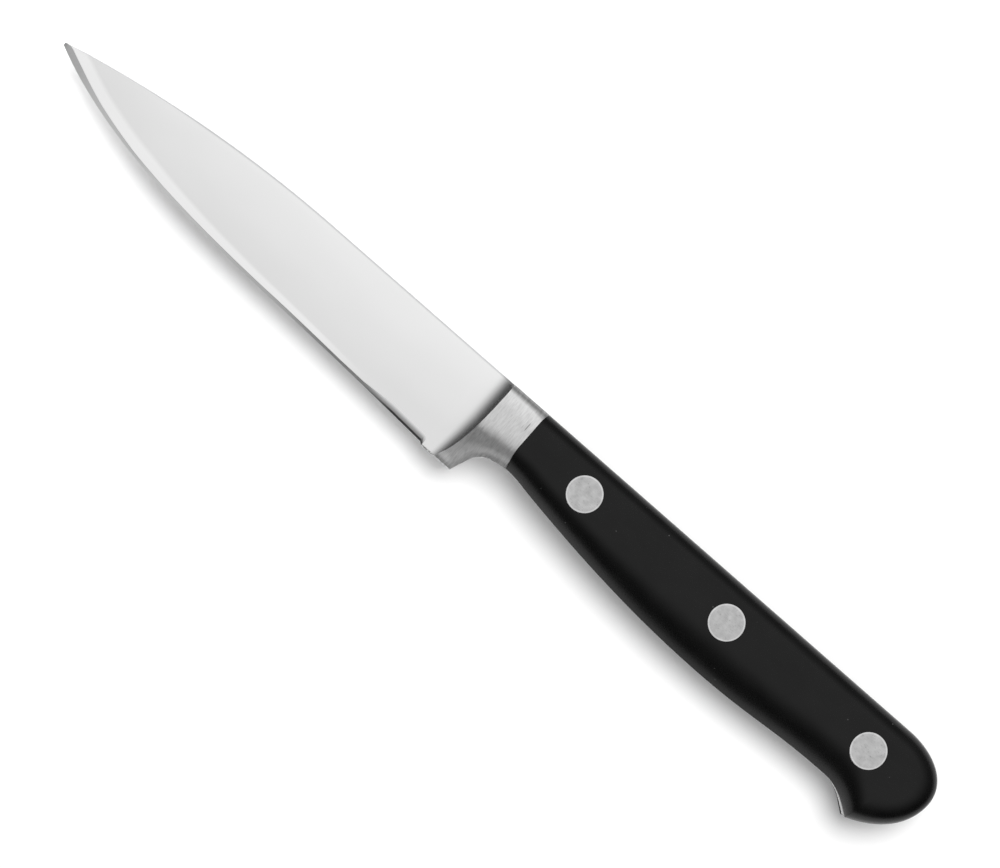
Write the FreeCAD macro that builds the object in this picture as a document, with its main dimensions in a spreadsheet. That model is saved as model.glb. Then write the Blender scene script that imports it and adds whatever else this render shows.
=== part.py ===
import FreeCAD, Part
import enum
import math
import os

import Sketcher

# Paring knife lying on its side, in millimetres.
# The outline is drawn with x from the tip towards the butt, y up from the straight spine line and
# z out of the middle plane. The pieces are then set down so that the origin is the middle of the
# surface that the knife lies on.

SIZES = (
    ("blade_length", 100.8),  # tip to the front wall of the bolster
    ("bolster_length", 7.6),  # front wall to the scales, along the side of the bolster
    ("handle_length", 96.6),  # front of the scales to the butt
    ("handle_thickness", 13.0),  # over both scales
    ("tang_thickness", 2.4),
    ("heel_depth", 19.1),  # spine to the bottom of the heel
    ("heel_thickness", 1.2),  # bolster at the bottom of the heel
    ("heel_strip", 6.3),  # length of the heel that is left unsharpened
    ("heel_toe", 0.93),  # front wall of the bolster back to the corner of the heel
    ("choil_drop", 2.83),  # front of the scales down to where the underside runs straight to the heel
    ("notch_depth", 0.45),  # step from the cutting edge down to the heel
    ("notch_run", 0.6),
    ("tip_drop", 6.8),  # spine line down to the tip
    ("tip_blunt", 0.6),  # height of the blunt nose of the tip
    ("spine_thickness", 2.0),  # blade at the bolster, along the spine
    ("tip_thickness", 1.2),  # blade at the tip, on the level of the spine
    ("edge_thickness", 0.4),  # blade at the bolster, on the level of the heel
    ("tip_edge_thickness", 0.3),  # blade at the tip, on the level of the heel
    ("edge_land", 0.06),  # flat that is left on the sharpened edge
    ("bevel_reach", 2.0),  # how far up the face the sharpening cut may go
    ("front_radius", 5.0),  # concave radius from the blade up the wall of the bolster
    ("front_depth", 12.2),  # bolster and scales where they meet
    ("fold_depth", 9.0),  # spine to the fold above the heel facet
    ("fold_radius", 4.0),
    ("belly_drop", 4.85),  # front of the scales down to the fullest point of the belly
    ("waist_rise", 1.25),  # fullest point up to the waist
    ("beak_drop", 3.5),  # waist down to the beak
    ("beak_run", 7.35),  # waist back to the beak
    ("beak_setback", 10.0),  # butt forward to the beak
    ("butt_run", 10.9),  # length of the curve from the spine down to the butt
    ("butt_depth", 7.7),  # spine to the rearmost point of the butt
    ("edge_round", 3.0),  # rounded outer edges of the bolster and the scales
    ("joint_clearance", 0.03),  # bolster to scale
    ("rivet_head_diameter", 6.8),
    ("rivet_head_thickness", 2.0),
    ("sleeve_diameter", 5.0),
    ("post_diameter", 3.0),
    ("rivet_clearance", 0.05),  # all round a rivet in its hole, and a post in its sleeve
    ("rivet_end_gap", 0.3),  # end of a sleeve or a post to the head that it points at
    ("front_rivet_depth", 6.45),  # spine to the front rivet
    ("rear_rivet_depth", 7.5),  # spine to the rear rivet
    ("cut_overrun", 5.0),  # how far a cut runs past what it cuts
)

# Places along a piece, as shares of its length.
STRAIGHT_EDGE_SHARE = 0.556
SPINE_CURVE_SHARE = 0.575
FRONT_FLARE_SHARE = 0.09
WAIST_SWING_SHARE = 0.5
HOLLOW_SHARE = 0.95  # most of the bolster wall that its concave radius may take
BELLY_PLACE_SHARE = 0.517
RIVET_PLACE_SHARES = (("front", 0.148), ("middle", 0.4985), ("rear", 0.849))

# Directions of the outline in degrees, at the start, the meeting and the end of two tangent arcs.
EDGE_ANGLES = (-25.4, -9.0, -2.2)
CHOIL_ANGLES = (67.0, 25.0, 0.0)
REAR_ANGLES = (20.0, 45.0, 90.0)
CROWN_ANGLES = (90.0, 135.0, 180.0)
BEAK_ANGLE = -37.0
JOINT_ANGLE = 15.0  # rear face of the bolster, off the square
BEVEL_ANGLE = 20.0  # sharpening cut on each side

SAME_PLACE = 1e-6  # two places nearer than this are one


class Turn(enum.IntEnum):
    """Which way an arc bends, as the sign of its turn."""

    LEFT = 1
    RIGHT = -1


class Side(enum.IntEnum):
    """Which face of the knife, as the sign of its height."""

    NEAR = 1
    FAR = -1


class Spot(enum.IntEnum):
    """The named points of a line or an arc in a sketch."""

    START = 1
    END = 2
    CENTRE = 3


class Axis(enum.IntEnum):
    """The two axes of a sketch."""

    ACROSS = -1
    UP = -2


class Measure:
    """A length, with its number now and the formula on the sheet that gives it."""

    def __init__(self, value, formula):
        self.value = value
        self.formula = formula

    def __add__(self, other):
        other = measure(other)
        return Measure(self.value + other.value, f"({self.formula} + {other.formula})")

    def __sub__(self, other):
        other = measure(other)
        return Measure(self.value - other.value, f"({self.formula} - {other.formula})")

    def __mul__(self, other):
        other = measure(other)
        return Measure(self.value * other.value, f"({self.formula} * {other.formula})")

    def __truediv__(self, other):
        other = measure(other)
        return Measure(self.value / other.value, f"({self.formula} / {other.formula})")

    def __neg__(self):
        return self * -1

    __radd__ = __add__
    __rmul__ = __mul__


def measure(number):
    """Let a plain number stand in a formula."""
    if isinstance(number, Measure):
        return number
    return Measure(float(number), f"({float(number):.12f})")


def root(length):
    return Measure(math.sqrt(length.value), f"sqrt({length.formula})")


def larger(one, other):
    return Measure(max(one.value, other.value), f"max({one.formula}; {other.formula})")


def smaller(one, other):
    return Measure(min(one.value, other.value), f"min({one.formula}; {other.formula})")


def slope(degrees):
    return math.tan(math.radians(degrees))


def make_sheet(document):
    """Write the driving dimensions into the sheet and read them back as measures."""
    sheet = document.addObject("Spreadsheet::Sheet", "Sizes")
    for row, (alias, value) in enumerate(SIZES, start=1):
        sheet.set(f"A{row}", str(value))
        sheet.setAlias(f"A{row}", alias)
    document.recompute()
    return {alias: Measure(float(getattr(sheet, alias)), f"Sizes.{alias}") for alias, _ in SIZES}


class Outline:
    """A chain of lines and arcs in a sketch, each corner and each radius bound to the sheet."""

    def __init__(self, sketch, start):
        self.sketch = sketch
        self.here = start
        self.first = None
        self.last = None
        self.constraints = []
        self.formulas = {}

    def bind(self, constraint, formula):
        self.formulas[len(self.constraints)] = formula
        self.constraints.append(constraint)

    def pin(self, index, end, point):
        for kind, axis, place in (("DistanceX", Axis.UP, point[0]), ("DistanceY", Axis.ACROSS, point[1])):
            if isinstance(place, Measure):
                self.bind(Sketcher.Constraint(kind, index, end, place.value), place.formula)
            else:
                self.constraints.append(Sketcher.Constraint("PointOnObject", index, end, axis))

    def add(self, curve, from_end, to_end, point):
        index = self.sketch.addGeometry(curve, False)
        if self.last is None:
            self.first = (index, from_end)
            self.pin(index, from_end, self.here)
        else:
            self.constraints.append(Sketcher.Constraint("Coincident", *self.last, index, from_end))
        self.last = (index, to_end)
        if point is not None:
            self.pin(index, to_end, point)
            self.here = point
        return index

    def line_to(self, point):
        self.add(Part.LineSegment(spot(self.here), spot(point)), Spot.START, Spot.END, point)

    def arc_to(self, point, radius, turn):
        """Draw the short arc to a point, turning left or right."""
        begin, finish = spot(self.here), spot(point)
        chord = finish - begin
        sideways = FreeCAD.Vector(-chord.y, chord.x, 0).normalize() * turn
        reach = math.sqrt(max(radius.value**2 - (chord.Length / 2) ** 2, 0))
        centre = (begin + finish) / 2 + sideways * reach
        if turn == Turn.LEFT:
            ends, tail, head = (Spot.START, Spot.END), begin - centre, finish - centre
        else:
            ends, tail, head = (Spot.END, Spot.START), finish - centre, begin - centre
        low = math.atan2(tail.y, tail.x)
        high = low + (math.atan2(head.y, head.x) - low) % (2 * math.pi)
        circle = Part.Circle(centre, FreeCAD.Vector(0, 0, 1), radius.value)
        index = self.add(Part.ArcOfCircle(circle, low, high), *ends, point)
        self.bind(Sketcher.Constraint("Radius", index, radius.value), radius.formula)

    def two_arcs_to(self, point, headings):
        """Reach a point on two tangent arcs that keep the given directions."""
        across = measure(point[0]) - self.here[0]
        up = measure(point[1]) - self.here[1]
        (ax, ay), (bx, by) = (swing(*pair) for pair in zip(headings, headings[1:]))
        scale = ax * by - ay * bx
        first = (across * by - up * bx) / scale
        second = (up * ax - across * ay) / scale
        meeting = (first * ax + self.here[0], first * ay + self.here[1])
        turn = Turn.LEFT if headings[1] > headings[0] else Turn.RIGHT
        self.arc_to(meeting, first * turn, turn)
        self.arc_to(point, second * turn, turn)

    def level_swing_to(self, point, share):
        """Reach a point on two opposite arcs that start and end level."""
        across = measure(point[0]) - self.here[0]
        up = measure(point[1]) - self.here[1]
        first_turn = Turn.LEFT if up.value > 0 else Turn.RIGHT
        reach = (across * across + up * up) / (up * 2 * first_turn)
        meeting = (across * share + self.here[0], up * share + self.here[1])
        self.arc_to(meeting, reach * share, first_turn)
        self.arc_to(point, reach * (1 - share), -first_turn)

    def close(self, begin):
        self.add(Part.LineSegment(spot(self.here), spot(begin)), Spot.START, Spot.END, None)
        self.constraints.append(Sketcher.Constraint("Coincident", *self.last, *self.first))
        self.finish()

    def finish(self):
        first = self.sketch.ConstraintCount
        self.sketch.addConstraint(self.constraints)
        for index, formula in self.formulas.items():
            self.sketch.setExpression(f"Constraints[{first + index}]", formula)


def spot(point):
    return FreeCAD.Vector(measure(point[0]).value, measure(point[1]).value, 0)


def swing(start, end):
    """How far a left arc of radius 1 goes across and up between two directions."""
    start, end = math.radians(start), math.radians(end)
    return math.sin(end) - math.sin(start), math.cos(start) - math.cos(end)


def polygon(sketch, points):
    outline = Outline(sketch, points[0])
    for point in points[1:]:
        outline.line_to(point)
    outline.close(points[0])


def circles(sketch, centres, radius):
    """Draw equal circles, each centre and each radius bound to the sheet."""
    for across, up in centres:
        circle = Part.Circle(spot((across, up)), FreeCAD.Vector(0, 0, 1), radius.value)
        index = sketch.addGeometry(circle, False)
        for kind, place in (("DistanceX", across), ("DistanceY", up)):
            number = sketch.addConstraint(Sketcher.Constraint(kind, index, Spot.CENTRE, place.value))
            sketch.setExpression(f"Constraints[{number}]", place.formula)
        number = sketch.addConstraint(Sketcher.Constraint("Radius", index, radius.value))
        sketch.setExpression(f"Constraints[{number}]", radius.formula)


def new_body(document, name):
    body = document.addObject("PartDesign::Body", name)
    body.Label = name
    return body


def own_plane(body, role):
    return next(item for item in body.Origin.OriginFeatures if item.Role == role)


def new_sketch(body, role, name, lift=None):
    """An empty sketch on one of the body's own planes, raised from it by a measure."""
    sketch = body.newObject("Sketcher::SketchObject", name)
    sketch.AttachmentSupport = [(own_plane(body, role), "")]
    sketch.MapMode = "FlatFace"
    if lift is not None:
        sketch.setExpression("AttachmentOffset.Base.z", lift.formula)
    return sketch


def pad(body, sketch, name, length, side=None):
    """Raise a sketch to both sides alike, or to the near or far side only."""
    feature = body.newObject("PartDesign::Pad", name)
    feature.Profile = sketch
    feature.setExpression("Length", length.formula)
    if side is None:
        feature.SideType = "Symmetric"
    else:
        feature.Reversed = side == Side.FAR
    return feature


def cut_through(body, sketch, name):
    feature = body.newObject("PartDesign::Pocket", name)
    feature.Profile = sketch
    feature.Type = "ThroughAll"
    feature.SideType = "Symmetric"
    return feature


def fillet(body, name, radius, wanted):
    """Round the edges of the body's last feature whose middle point is wanted."""
    document = body.Document
    document.recompute()
    base = body.Tip
    edges = []
    for number, edge in enumerate(base.Shape.Edges, start=1):
        middle = edge.valueAt((edge.FirstParameter + edge.LastParameter) / 2)
        if wanted(middle):
            edges.append(f"Edge{number}")
    feature = body.newObject("PartDesign::Fillet", name)
    feature.Base = (base, edges)
    feature.setExpression("Radius", radius.formula)
    return feature


def at(value, length):
    return abs(value - measure(length).value) < SAME_PLACE


class Knife:
    """The shared places of the knife, worked out from its driving dimensions."""

    def __init__(self, size):
        self.size = size
        self.half = size["handle_thickness"] / 2
        self.half_tang = size["tang_thickness"] / 2
        self.scale_thickness = self.half - self.half_tang
        self.wall = size["blade_length"]
        self.joint = self.wall + size["bolster_length"]
        self.tang_joint = self.joint + self.scale_thickness * slope(JOINT_ANGLE)
        self.butt = self.joint + size["handle_length"]
        self.belly_depth = size["front_depth"] + size["belly_drop"]
        self.waist_depth = self.belly_depth - size["waist_rise"]
        self.beak_depth = self.waist_depth + size["beak_drop"]
        self.edge_depth = size["heel_depth"] - size["notch_depth"]
        self.notch = self.wall - size["heel_strip"]
        self.heel_corner = self.wall + size["heel_toe"]
        self.height = larger(size["heel_depth"], self.beak_depth)
        self.head_seat = self.half - size["rivet_head_thickness"]
        self.rivets = self.rivet_places()

    def rivet_places(self):
        """Each rivet's place, on a line that sinks a little towards the butt."""
        first, last = RIVET_PLACE_SHARES[0][1], RIVET_PLACE_SHARES[-1][1]
        sink = self.size["rear_rivet_depth"] - self.size["front_rivet_depth"]
        places = {}
        for name, share in RIVET_PLACE_SHARES:
            depth = self.size["front_rivet_depth"] + sink * ((share - first) / (last - first))
            places[name] = (self.joint + self.size["handle_length"] * share, -depth)
        return places

    def settle(self, body, across=0, up=0):
        """Set a piece down in the frame of the whole knife."""
        body.setExpression("Placement.Base.x", (self.butt / -2 + across).formula)
        body.setExpression("Placement.Base.y", (self.height / 2 + up).formula)
        body.setExpression("Placement.Base.z", self.half.formula)

    def handle_outline(self, sketch):
        """The outline that the tang shares with both scales, round from the front of the belly."""
        size = self.size
        beak = self.butt - size["beak_setback"]
        waist = beak - size["beak_run"]
        belly = self.joint + size["handle_length"] * BELLY_PLACE_SHARE
        front = (self.joint, -size["front_depth"])
        outline = Outline(sketch, front)
        outline.level_swing_to((belly, -self.belly_depth), FRONT_FLARE_SHARE)
        outline.level_swing_to((waist, -self.waist_depth), WAIST_SWING_SHARE)
        across, down = swing(0, BEAK_ANGLE)
        room = size["beak_run"] * slope(BEAK_ANGLE) + size["beak_drop"]
        radius = room / (across * slope(BEAK_ANGLE) - down)
        outline.arc_to((waist + radius * across, radius * down - self.waist_depth), -radius, Turn.RIGHT)
        outline.line_to((beak, -self.beak_depth))
        outline.two_arcs_to((self.butt, -size["butt_depth"]), REAR_ANGLES)
        outline.two_arcs_to((self.butt - size["butt_run"], 0), CROWN_ANGLES)
        outline.line_to((self.joint, 0))
        outline.close(front)

    def edge_start(self):
        """Where the straight stretch of the cutting edge begins."""
        across = self.wall * STRAIGHT_EDGE_SHARE
        return across, (self.notch - across) * slope(-EDGE_ANGLES[2]) - self.edge_depth

    def rivet_holes(self, body, name):
        """Clearance holes for the rivet sleeves."""
        sketch = new_sketch(body, "XY_Plane", name + "_circles")
        circles(sketch, self.rivets.values(), self.size["sleeve_diameter"] / 2 + self.size["rivet_clearance"])
        return cut_through(body, sketch, name)


def bolster(knife, body):
    """A thick block with a rounded underside, trimmed to its front wall, heel and rear slopes."""
    size = knife.size
    spare = size["edge_round"] * 2
    low = -size["heel_depth"] - spare
    front = knife.wall - spare
    heel = -size["heel_depth"]
    heel_slope = slope(CHOIL_ANGLES[0])
    choil_depth = size["front_depth"] + size["choil_drop"]
    choil = (knife.heel_corner + (size["heel_depth"] - choil_depth) / heel_slope, -choil_depth)
    toe = knife.heel_corner - (heel - low) / heel_slope

    sketch = new_sketch(body, "XY_Plane", "bolster_outline")
    outline = Outline(sketch, (front, low))
    outline.line_to((toe, low))
    outline.line_to(choil)
    outline.two_arcs_to((knife.joint, -size["front_depth"]), CHOIL_ANGLES)
    outline.line_to((knife.tang_joint, -size["front_depth"]))
    outline.line_to((knife.tang_joint, 0))
    outline.line_to((front, 0))
    outline.close((front, low))
    pad(body, sketch, "bolster_block", size["handle_thickness"])

    def on_underside(point):
        off_ends = point.x > toe.value and not at(point.x, knife.tang_joint) and not at(point.y, low)
        return at(abs(point.z), knife.half) and off_ends and not at(point.y, 0)

    fillet(body, "underside_round", size["edge_round"], on_underside)

    over = size["cut_overrun"]
    sketch = new_sketch(body, "XY_Plane", "bolster_trim")
    polygon(sketch, (
        (knife.wall, over), (front - over, over), (front - over, low - over),
        (knife.tang_joint + over, low - over), (knife.tang_joint + over, heel), (knife.wall, heel),
    ))
    cut_through(body, sketch, "bolster_front")

    sketch = new_sketch(body, "XZ_Plane", "bolster_rear")
    for side in (Side.NEAR, Side.FAR):
        polygon(sketch, (
            (knife.joint, knife.half * side), (knife.tang_joint, knife.half_tang * side),
            (knife.tang_joint + over, knife.half_tang * side),
            (knife.tang_joint + over, (knife.half + over) * side), (knife.joint, (knife.half + over) * side),
        ))
    cut_through(body, sketch, "joint_slopes")


def blade(knife, body):
    """A taper from spine to edge and from bolster to tip, trimmed to the outline of the blade."""
    size = knife.size
    sections = []
    for name, lift, spine, edge in (
        ("tip_section", None, "tip_thickness", "tip_edge_thickness"),
        ("heel_section", knife.wall, "spine_thickness", "edge_thickness"),
    ):
        section = new_sketch(body, "YZ_Plane", name, lift)
        heel = -size["heel_depth"]
        polygon(section, (
            (0, size[spine] / 2), (heel, size[edge] / 2), (heel, size[edge] / -2), (0, size[spine] / -2),
        ))
        sections.append(section)
    taper = body.newObject("PartDesign::AdditiveLoft", "blade_taper")
    taper.Profile = sections[0]
    taper.Sections = sections[1:]
    taper.Ruled = True

    over = size["cut_overrun"]
    spine_curve = knife.wall * SPINE_CURVE_SHARE
    spine_radius = (spine_curve * spine_curve + size["tip_drop"] * size["tip_drop"]) / (size["tip_drop"] * 2)
    sketch = new_sketch(body, "XY_Plane", "blade_trim")
    outline = Outline(sketch, (spine_curve, 0))
    outline.arc_to((0, -size["tip_drop"]), spine_radius, Turn.LEFT)
    outline.line_to((0, -size["tip_drop"] - size["tip_blunt"]))
    outline.two_arcs_to(knife.edge_start(), EDGE_ANGLES)
    outline.line_to((knife.notch, -knife.edge_depth))
    outline.line_to((knife.notch + size["notch_run"], -size["heel_depth"]))
    outline.line_to((knife.wall, -size["heel_depth"]))
    outline.line_to((knife.wall, -size["heel_depth"] - over))
    outline.line_to((-over, -size["heel_depth"] - over))
    outline.line_to((-over, over))
    outline.line_to((spine_curve, over))
    outline.close((spine_curve, 0))
    cut_through(body, sketch, "blade_outline")

    half_spine = size["spine_thickness"] / 2

    def in_corner(point):
        return at(point.x, knife.wall) and abs(point.z) < half_spine.value and point.y < 0

    # The wall is lowest at the heel, where the round of the underside takes its corner off.
    rest = size["edge_round"] - size["heel_toe"] * math.sin(math.radians(CHOIL_ANGLES[0]))
    lost = size["edge_round"] - root(size["edge_round"] * size["edge_round"] - rest * rest)
    heel_wall = knife.half - lost - size["edge_thickness"] / 2
    hollow = smaller(size["front_radius"], smaller(knife.half - half_spine, heel_wall) * HOLLOW_SHARE)
    fillet(body, "front_hollow", hollow, in_corner)


def bolster_section(knife, body):
    """Round the spine edges of the bolster and slope its sides in towards the heel."""
    size = knife.size
    over = size["cut_overrun"]
    half_heel = size["heel_thickness"] / 2
    run = size["heel_depth"] - size["fold_depth"]
    fall = knife.half - half_heel
    slant = root(run * run + fall * fall)
    setback = size["fold_radius"] * fall / (slant + run)
    fold = (-size["fold_depth"] - setback * run / slant, knife.half - setback * fall / slant)
    sketch = new_sketch(body, "YZ_Plane", "bolster_sides")
    # The far side mirrors the near one, so its arcs turn the other way.
    for side in (Side.NEAR, Side.FAR):
        begin = (0, (knife.half - size["edge_round"]) * side)
        outline = Outline(sketch, begin)
        outline.arc_to((-size["edge_round"], knife.half * side), size["edge_round"], side)
        outline.line_to((setback - size["fold_depth"], knife.half * side))
        outline.arc_to((fold[0], fold[1] * side), size["fold_radius"], side)
        outline.line_to((-size["heel_depth"], half_heel * side))
        outline.line_to((-size["heel_depth"] - over, half_heel * side))
        outline.line_to((-size["heel_depth"] - over, (knife.half + over) * side))
        outline.line_to((over, (knife.half + over) * side))
        outline.line_to((over, (knife.half - size["edge_round"]) * side))
        outline.close(begin)
    cut_through(body, sketch, "heel_facets")


def cutting_bevel(knife, body):
    """Sharpen the edge on both sides, from the notch out past the tip."""
    size = knife.size
    over = size["cut_overrun"]
    path = new_sketch(body, "XY_Plane", "edge_path")
    outline = Outline(path, (knife.notch, -knife.edge_depth))
    outline.line_to(knife.edge_start())
    tip = (0, -size["tip_drop"] - size["tip_blunt"])
    outline.two_arcs_to(tip, [180 + heading for heading in reversed(EDGE_ANGLES)])
    outline.line_to((-over, tip[1] - over * slope(EDGE_ANGLES[0])))
    outline.finish()

    half_land = size["edge_land"] / 2
    shoulder = half_land + size["bevel_reach"] * slope(BEVEL_ANGLE)
    section = new_sketch(body, "YZ_Plane", "bevel_section", knife.notch)
    polygon(section, (
        (-knife.edge_depth, half_land), (size["bevel_reach"] - knife.edge_depth, shoulder),
        (size["bevel_reach"] - knife.edge_depth, size["spine_thickness"]),
        (-knife.edge_depth - over, size["spine_thickness"]), (-knife.edge_depth - over, half_land),
    ))
    document = body.Document
    document.recompute()
    bevel = body.newObject("PartDesign::SubtractivePipe", "near_bevel")
    bevel.Profile = section
    bevel.Spine = (path, [f"Edge{number + 1}" for number in range(path.GeometryCount)])
    document.recompute()
    mirrored = body.newObject("PartDesign::Mirrored", "both_bevels")
    mirrored.Originals = [bevel]
    mirrored.MirrorPlane = (own_plane(body, "XY_Plane"), [""])
    body.Tip = mirrored


def blade_forging(knife, document):
    """Blade, bolster and full tang, forged from one bar of steel."""
    body = new_body(document, "blade_forging")
    bolster(knife, body)
    blade(knife, body)
    bolster_section(knife, body)
    tang = new_sketch(body, "XY_Plane", "tang_outline")
    knife.handle_outline(tang)
    pad(body, tang, "tang", knife.size["tang_thickness"])
    cutting_bevel(knife, body)
    knife.rivet_holes(body, "tang_holes")
    knife.settle(body)
    return body


def scale(knife, document, name, side):
    """One handle scale: seated on the tang, rounded outside, counterbored for the rivet heads."""
    size = knife.size
    body = new_body(document, name)
    outline = new_sketch(body, "XY_Plane", name + "_outline", knife.half_tang * side)
    knife.handle_outline(outline)
    pad(body, outline, name + "_slab", knife.scale_thickness, side)

    def on_outside(point):
        return at(point.z, knife.half * side) and not at(point.x, knife.joint)

    fillet(body, name + "_round", size["edge_round"], on_outside)

    front = knife.joint + size["joint_clearance"]
    back = knife.tang_joint + size["joint_clearance"]
    over = size["cut_overrun"]
    sketch = new_sketch(body, "XZ_Plane", name + "_front")
    polygon(sketch, (
        (front, knife.half * side), (back, knife.half_tang * side),
        (back, (knife.half_tang - over) * side), (knife.joint - over, (knife.half_tang - over) * side),
        (knife.joint - over, (knife.half + over) * side), (front, (knife.half + over) * side),
    ))
    cut_through(body, sketch, name + "_joint")

    knife.rivet_holes(body, name + "_holes")
    seats = new_sketch(body, "XY_Plane", name + "_seat_circles", knife.head_seat * side)
    circles(seats, knife.rivets.values(), size["rivet_head_diameter"] / 2 + size["rivet_clearance"])
    seat = body.newObject("PartDesign::Pocket", name + "_seats")
    seat.Profile = seats
    seat.setExpression("Length", (size["rivet_head_thickness"] + over).formula)
    seat.Reversed = side == Side.NEAR
    knife.settle(body)
    return body


def turned(knife, document, name, place, points):
    """A piece turned about its own upright axis, at a rivet's place."""
    body = new_body(document, name)
    section = new_sketch(body, "XZ_Plane", name + "_section")
    polygon(section, points)
    feature = body.newObject("PartDesign::Revolution", name + "_turning")
    feature.Profile = section
    feature.ReferenceAxis = (section, ["V_Axis"])
    knife.settle(body, *place)
    return body


def rivet(knife, document, name, place):
    """A cutler's rivet: a sleeve from the near side and a post from the far side."""
    size = knife.size
    head = size["rivet_head_diameter"] / 2
    sleeve = size["sleeve_diameter"] / 2
    post = size["post_diameter"] / 2
    bore = post + size["rivet_clearance"]
    seat = knife.head_seat
    gap = size["rivet_end_gap"]
    sleeve_end = gap - seat
    post_end = seat - gap
    return (
        turned(knife, document, name + "_rivet_sleeve", place, (
            (0, seat), (bore, seat), (bore, sleeve_end), (sleeve, sleeve_end), (sleeve, seat),
            (head, seat), (head, knife.half), (0, knife.half),
        )),
        turned(knife, document, name + "_rivet_post", place, (
            (0, -knife.half), (head, -knife.half), (head, -seat), (post, -seat),
            (post, post_end), (0, post_end),
        )),
    )


def check(document, pieces):
    """Stop before anything is written if a feature failed or a piece has no sound solid."""
    for item in document.Objects:
        if "Invalid" in item.State or "Error" in item.State:
            raise RuntimeError(f"{item.Label} failed: {item.State}")
    for piece in pieces:
        if piece.Shape.isNull() or not piece.Shape.isValid() or len(piece.Shape.Solids) != 1:
            raise RuntimeError(f"{piece.Label} is not one sound solid")


def main():
    os.makedirs("parts", exist_ok=True)
    document = FreeCAD.newDocument("paring_knife")
    knife = Knife(make_sheet(document))
    pieces = [
        blade_forging(knife, document),
        scale(knife, document, "near_scale", Side.NEAR),
        scale(knife, document, "far_scale", Side.FAR),
    ]
    for name, place in knife.rivets.items():
        pieces.extend(rivet(knife, document, name, place))
    document.recompute()
    check(document, pieces)
    for piece in pieces:
        box = piece.Shape.optimalBoundingBox()
        extent = f"{box.XLength:.2f} x {box.YLength:.2f} x {box.ZLength:.2f} mm"
        print(f"{piece.Label}: {piece.Shape.Volume:.1f} mm3 in {extent}")
        piece.Shape.exportStep(f"parts/{piece.Label}.step")


main()
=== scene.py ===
# %% [markdown]
# # A paring knife on a white table
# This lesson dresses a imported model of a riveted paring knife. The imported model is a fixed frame: it
# says where every piece is and how large it is. Blender adds what the eye looks for, which is the
# ground blade, the soft bolster, the rounded plastic scales and the finish of each surface.

import math
from collections import namedtuple

import bmesh
import bpy
import numpy as np
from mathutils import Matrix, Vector
from mathutils.geometry import interpolate_bezier


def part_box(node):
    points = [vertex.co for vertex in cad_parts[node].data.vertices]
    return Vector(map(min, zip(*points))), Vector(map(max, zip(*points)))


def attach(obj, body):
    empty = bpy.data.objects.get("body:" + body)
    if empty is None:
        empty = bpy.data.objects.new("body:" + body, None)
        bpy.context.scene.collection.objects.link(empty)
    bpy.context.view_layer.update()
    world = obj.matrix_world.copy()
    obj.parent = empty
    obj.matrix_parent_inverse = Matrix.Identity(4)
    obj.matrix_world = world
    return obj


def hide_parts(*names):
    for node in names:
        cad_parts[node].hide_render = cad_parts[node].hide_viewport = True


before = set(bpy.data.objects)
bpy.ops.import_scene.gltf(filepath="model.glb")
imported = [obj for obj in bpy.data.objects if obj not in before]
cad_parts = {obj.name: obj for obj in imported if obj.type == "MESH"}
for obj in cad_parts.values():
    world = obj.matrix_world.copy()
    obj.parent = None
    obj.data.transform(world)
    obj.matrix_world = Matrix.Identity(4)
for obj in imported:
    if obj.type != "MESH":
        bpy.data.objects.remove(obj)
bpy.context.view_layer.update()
print("pieces in the frame:", sorted(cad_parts))

# %% [markdown]
# A knife is easiest to describe along its own lines: how far behind the tip, how far above the spine,
# and how far off the middle plane. The lines could be typed in, but then they could drift away from
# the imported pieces, so the frame gives them. `in_frame` turns a place on the knife, in millimetres,
# into metres in the frame.

# %% Sizes from the frame
MM = 0.001
forging_low, forging_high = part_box("blade_forging")
scale_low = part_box("near_scale")[0]
START = Vector((forging_low.x, forging_high.y, (forging_low.z + forging_high.z) / 2))
BUTT = (forging_high.x - START.x) / MM
HALF = (forging_high.z - START.z) / MM
HALF_TANG = (scale_low.z - START.z) / MM
JOINT = (scale_low.x - START.x) / MM


def in_frame(x, y, z=0.0):
    """From millimetres behind the tip, above the spine line and off the middle plane."""
    return START + Vector((x, y, z)) * MM


print(f"{BUTT:.1f} mm long, {2 * HALF:.1f} mm thick, scales start {JOINT:.2f} mm behind the tip")

# %% [markdown]
# The outlines of a forged knife are long, quiet curves with a few corners. A row of many points would
# show every small error, so the outlines are Bezier curves, as a designer would draw them: a few
# knots, each with the direction in which the outline passes it and the reach of its two handles. A
# corner is a knot that leaves in another direction than it arrives.
#
# The last three values shape the rounded edge of the handle and stay 0 on the blade. `rim` is how far
# inside the outline the rounding starts, `drop` is how far it has come down at the outline, and `cut`
# is how much of the quarter round is left off there, so that the edge of the scale stays a corner.

# %% Knots and curves
Knot = namedtuple("Knot", "x y arrive leave reach_in reach_out rim drop cut")


def knot(x, y, heading, reach_in=0.0, reach_out=0.0, leave=None, rim=0.0, drop=0.0, cut=0.0):
    leave = heading if leave is None else leave
    return Knot(x, y, heading, leave, reach_in, reach_out, rim, drop, cut)


def towards(degrees):
    return Vector((math.cos(math.radians(degrees)), math.sin(math.radians(degrees)), 0.0))


def curve_points(knots, count=64):
    """Points along the curve through the knots, as an array of x and y."""
    points = []
    for start, end in zip(knots, knots[1:]):
        begin, finish = Vector((start.x, start.y, 0)), Vector((end.x, end.y, 0))
        out = begin + towards(start.leave) * start.reach_out
        back = finish - towards(end.arrive) * end.reach_in
        points.extend(interpolate_bezier(begin, out, back, finish, count))
    return np.array([point.xy for point in points])


def height_at(points, x):
    return np.interp(x, points[:, 0], points[:, 1])


print("a knot holds:", ", ".join(Knot._fields))

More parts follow.
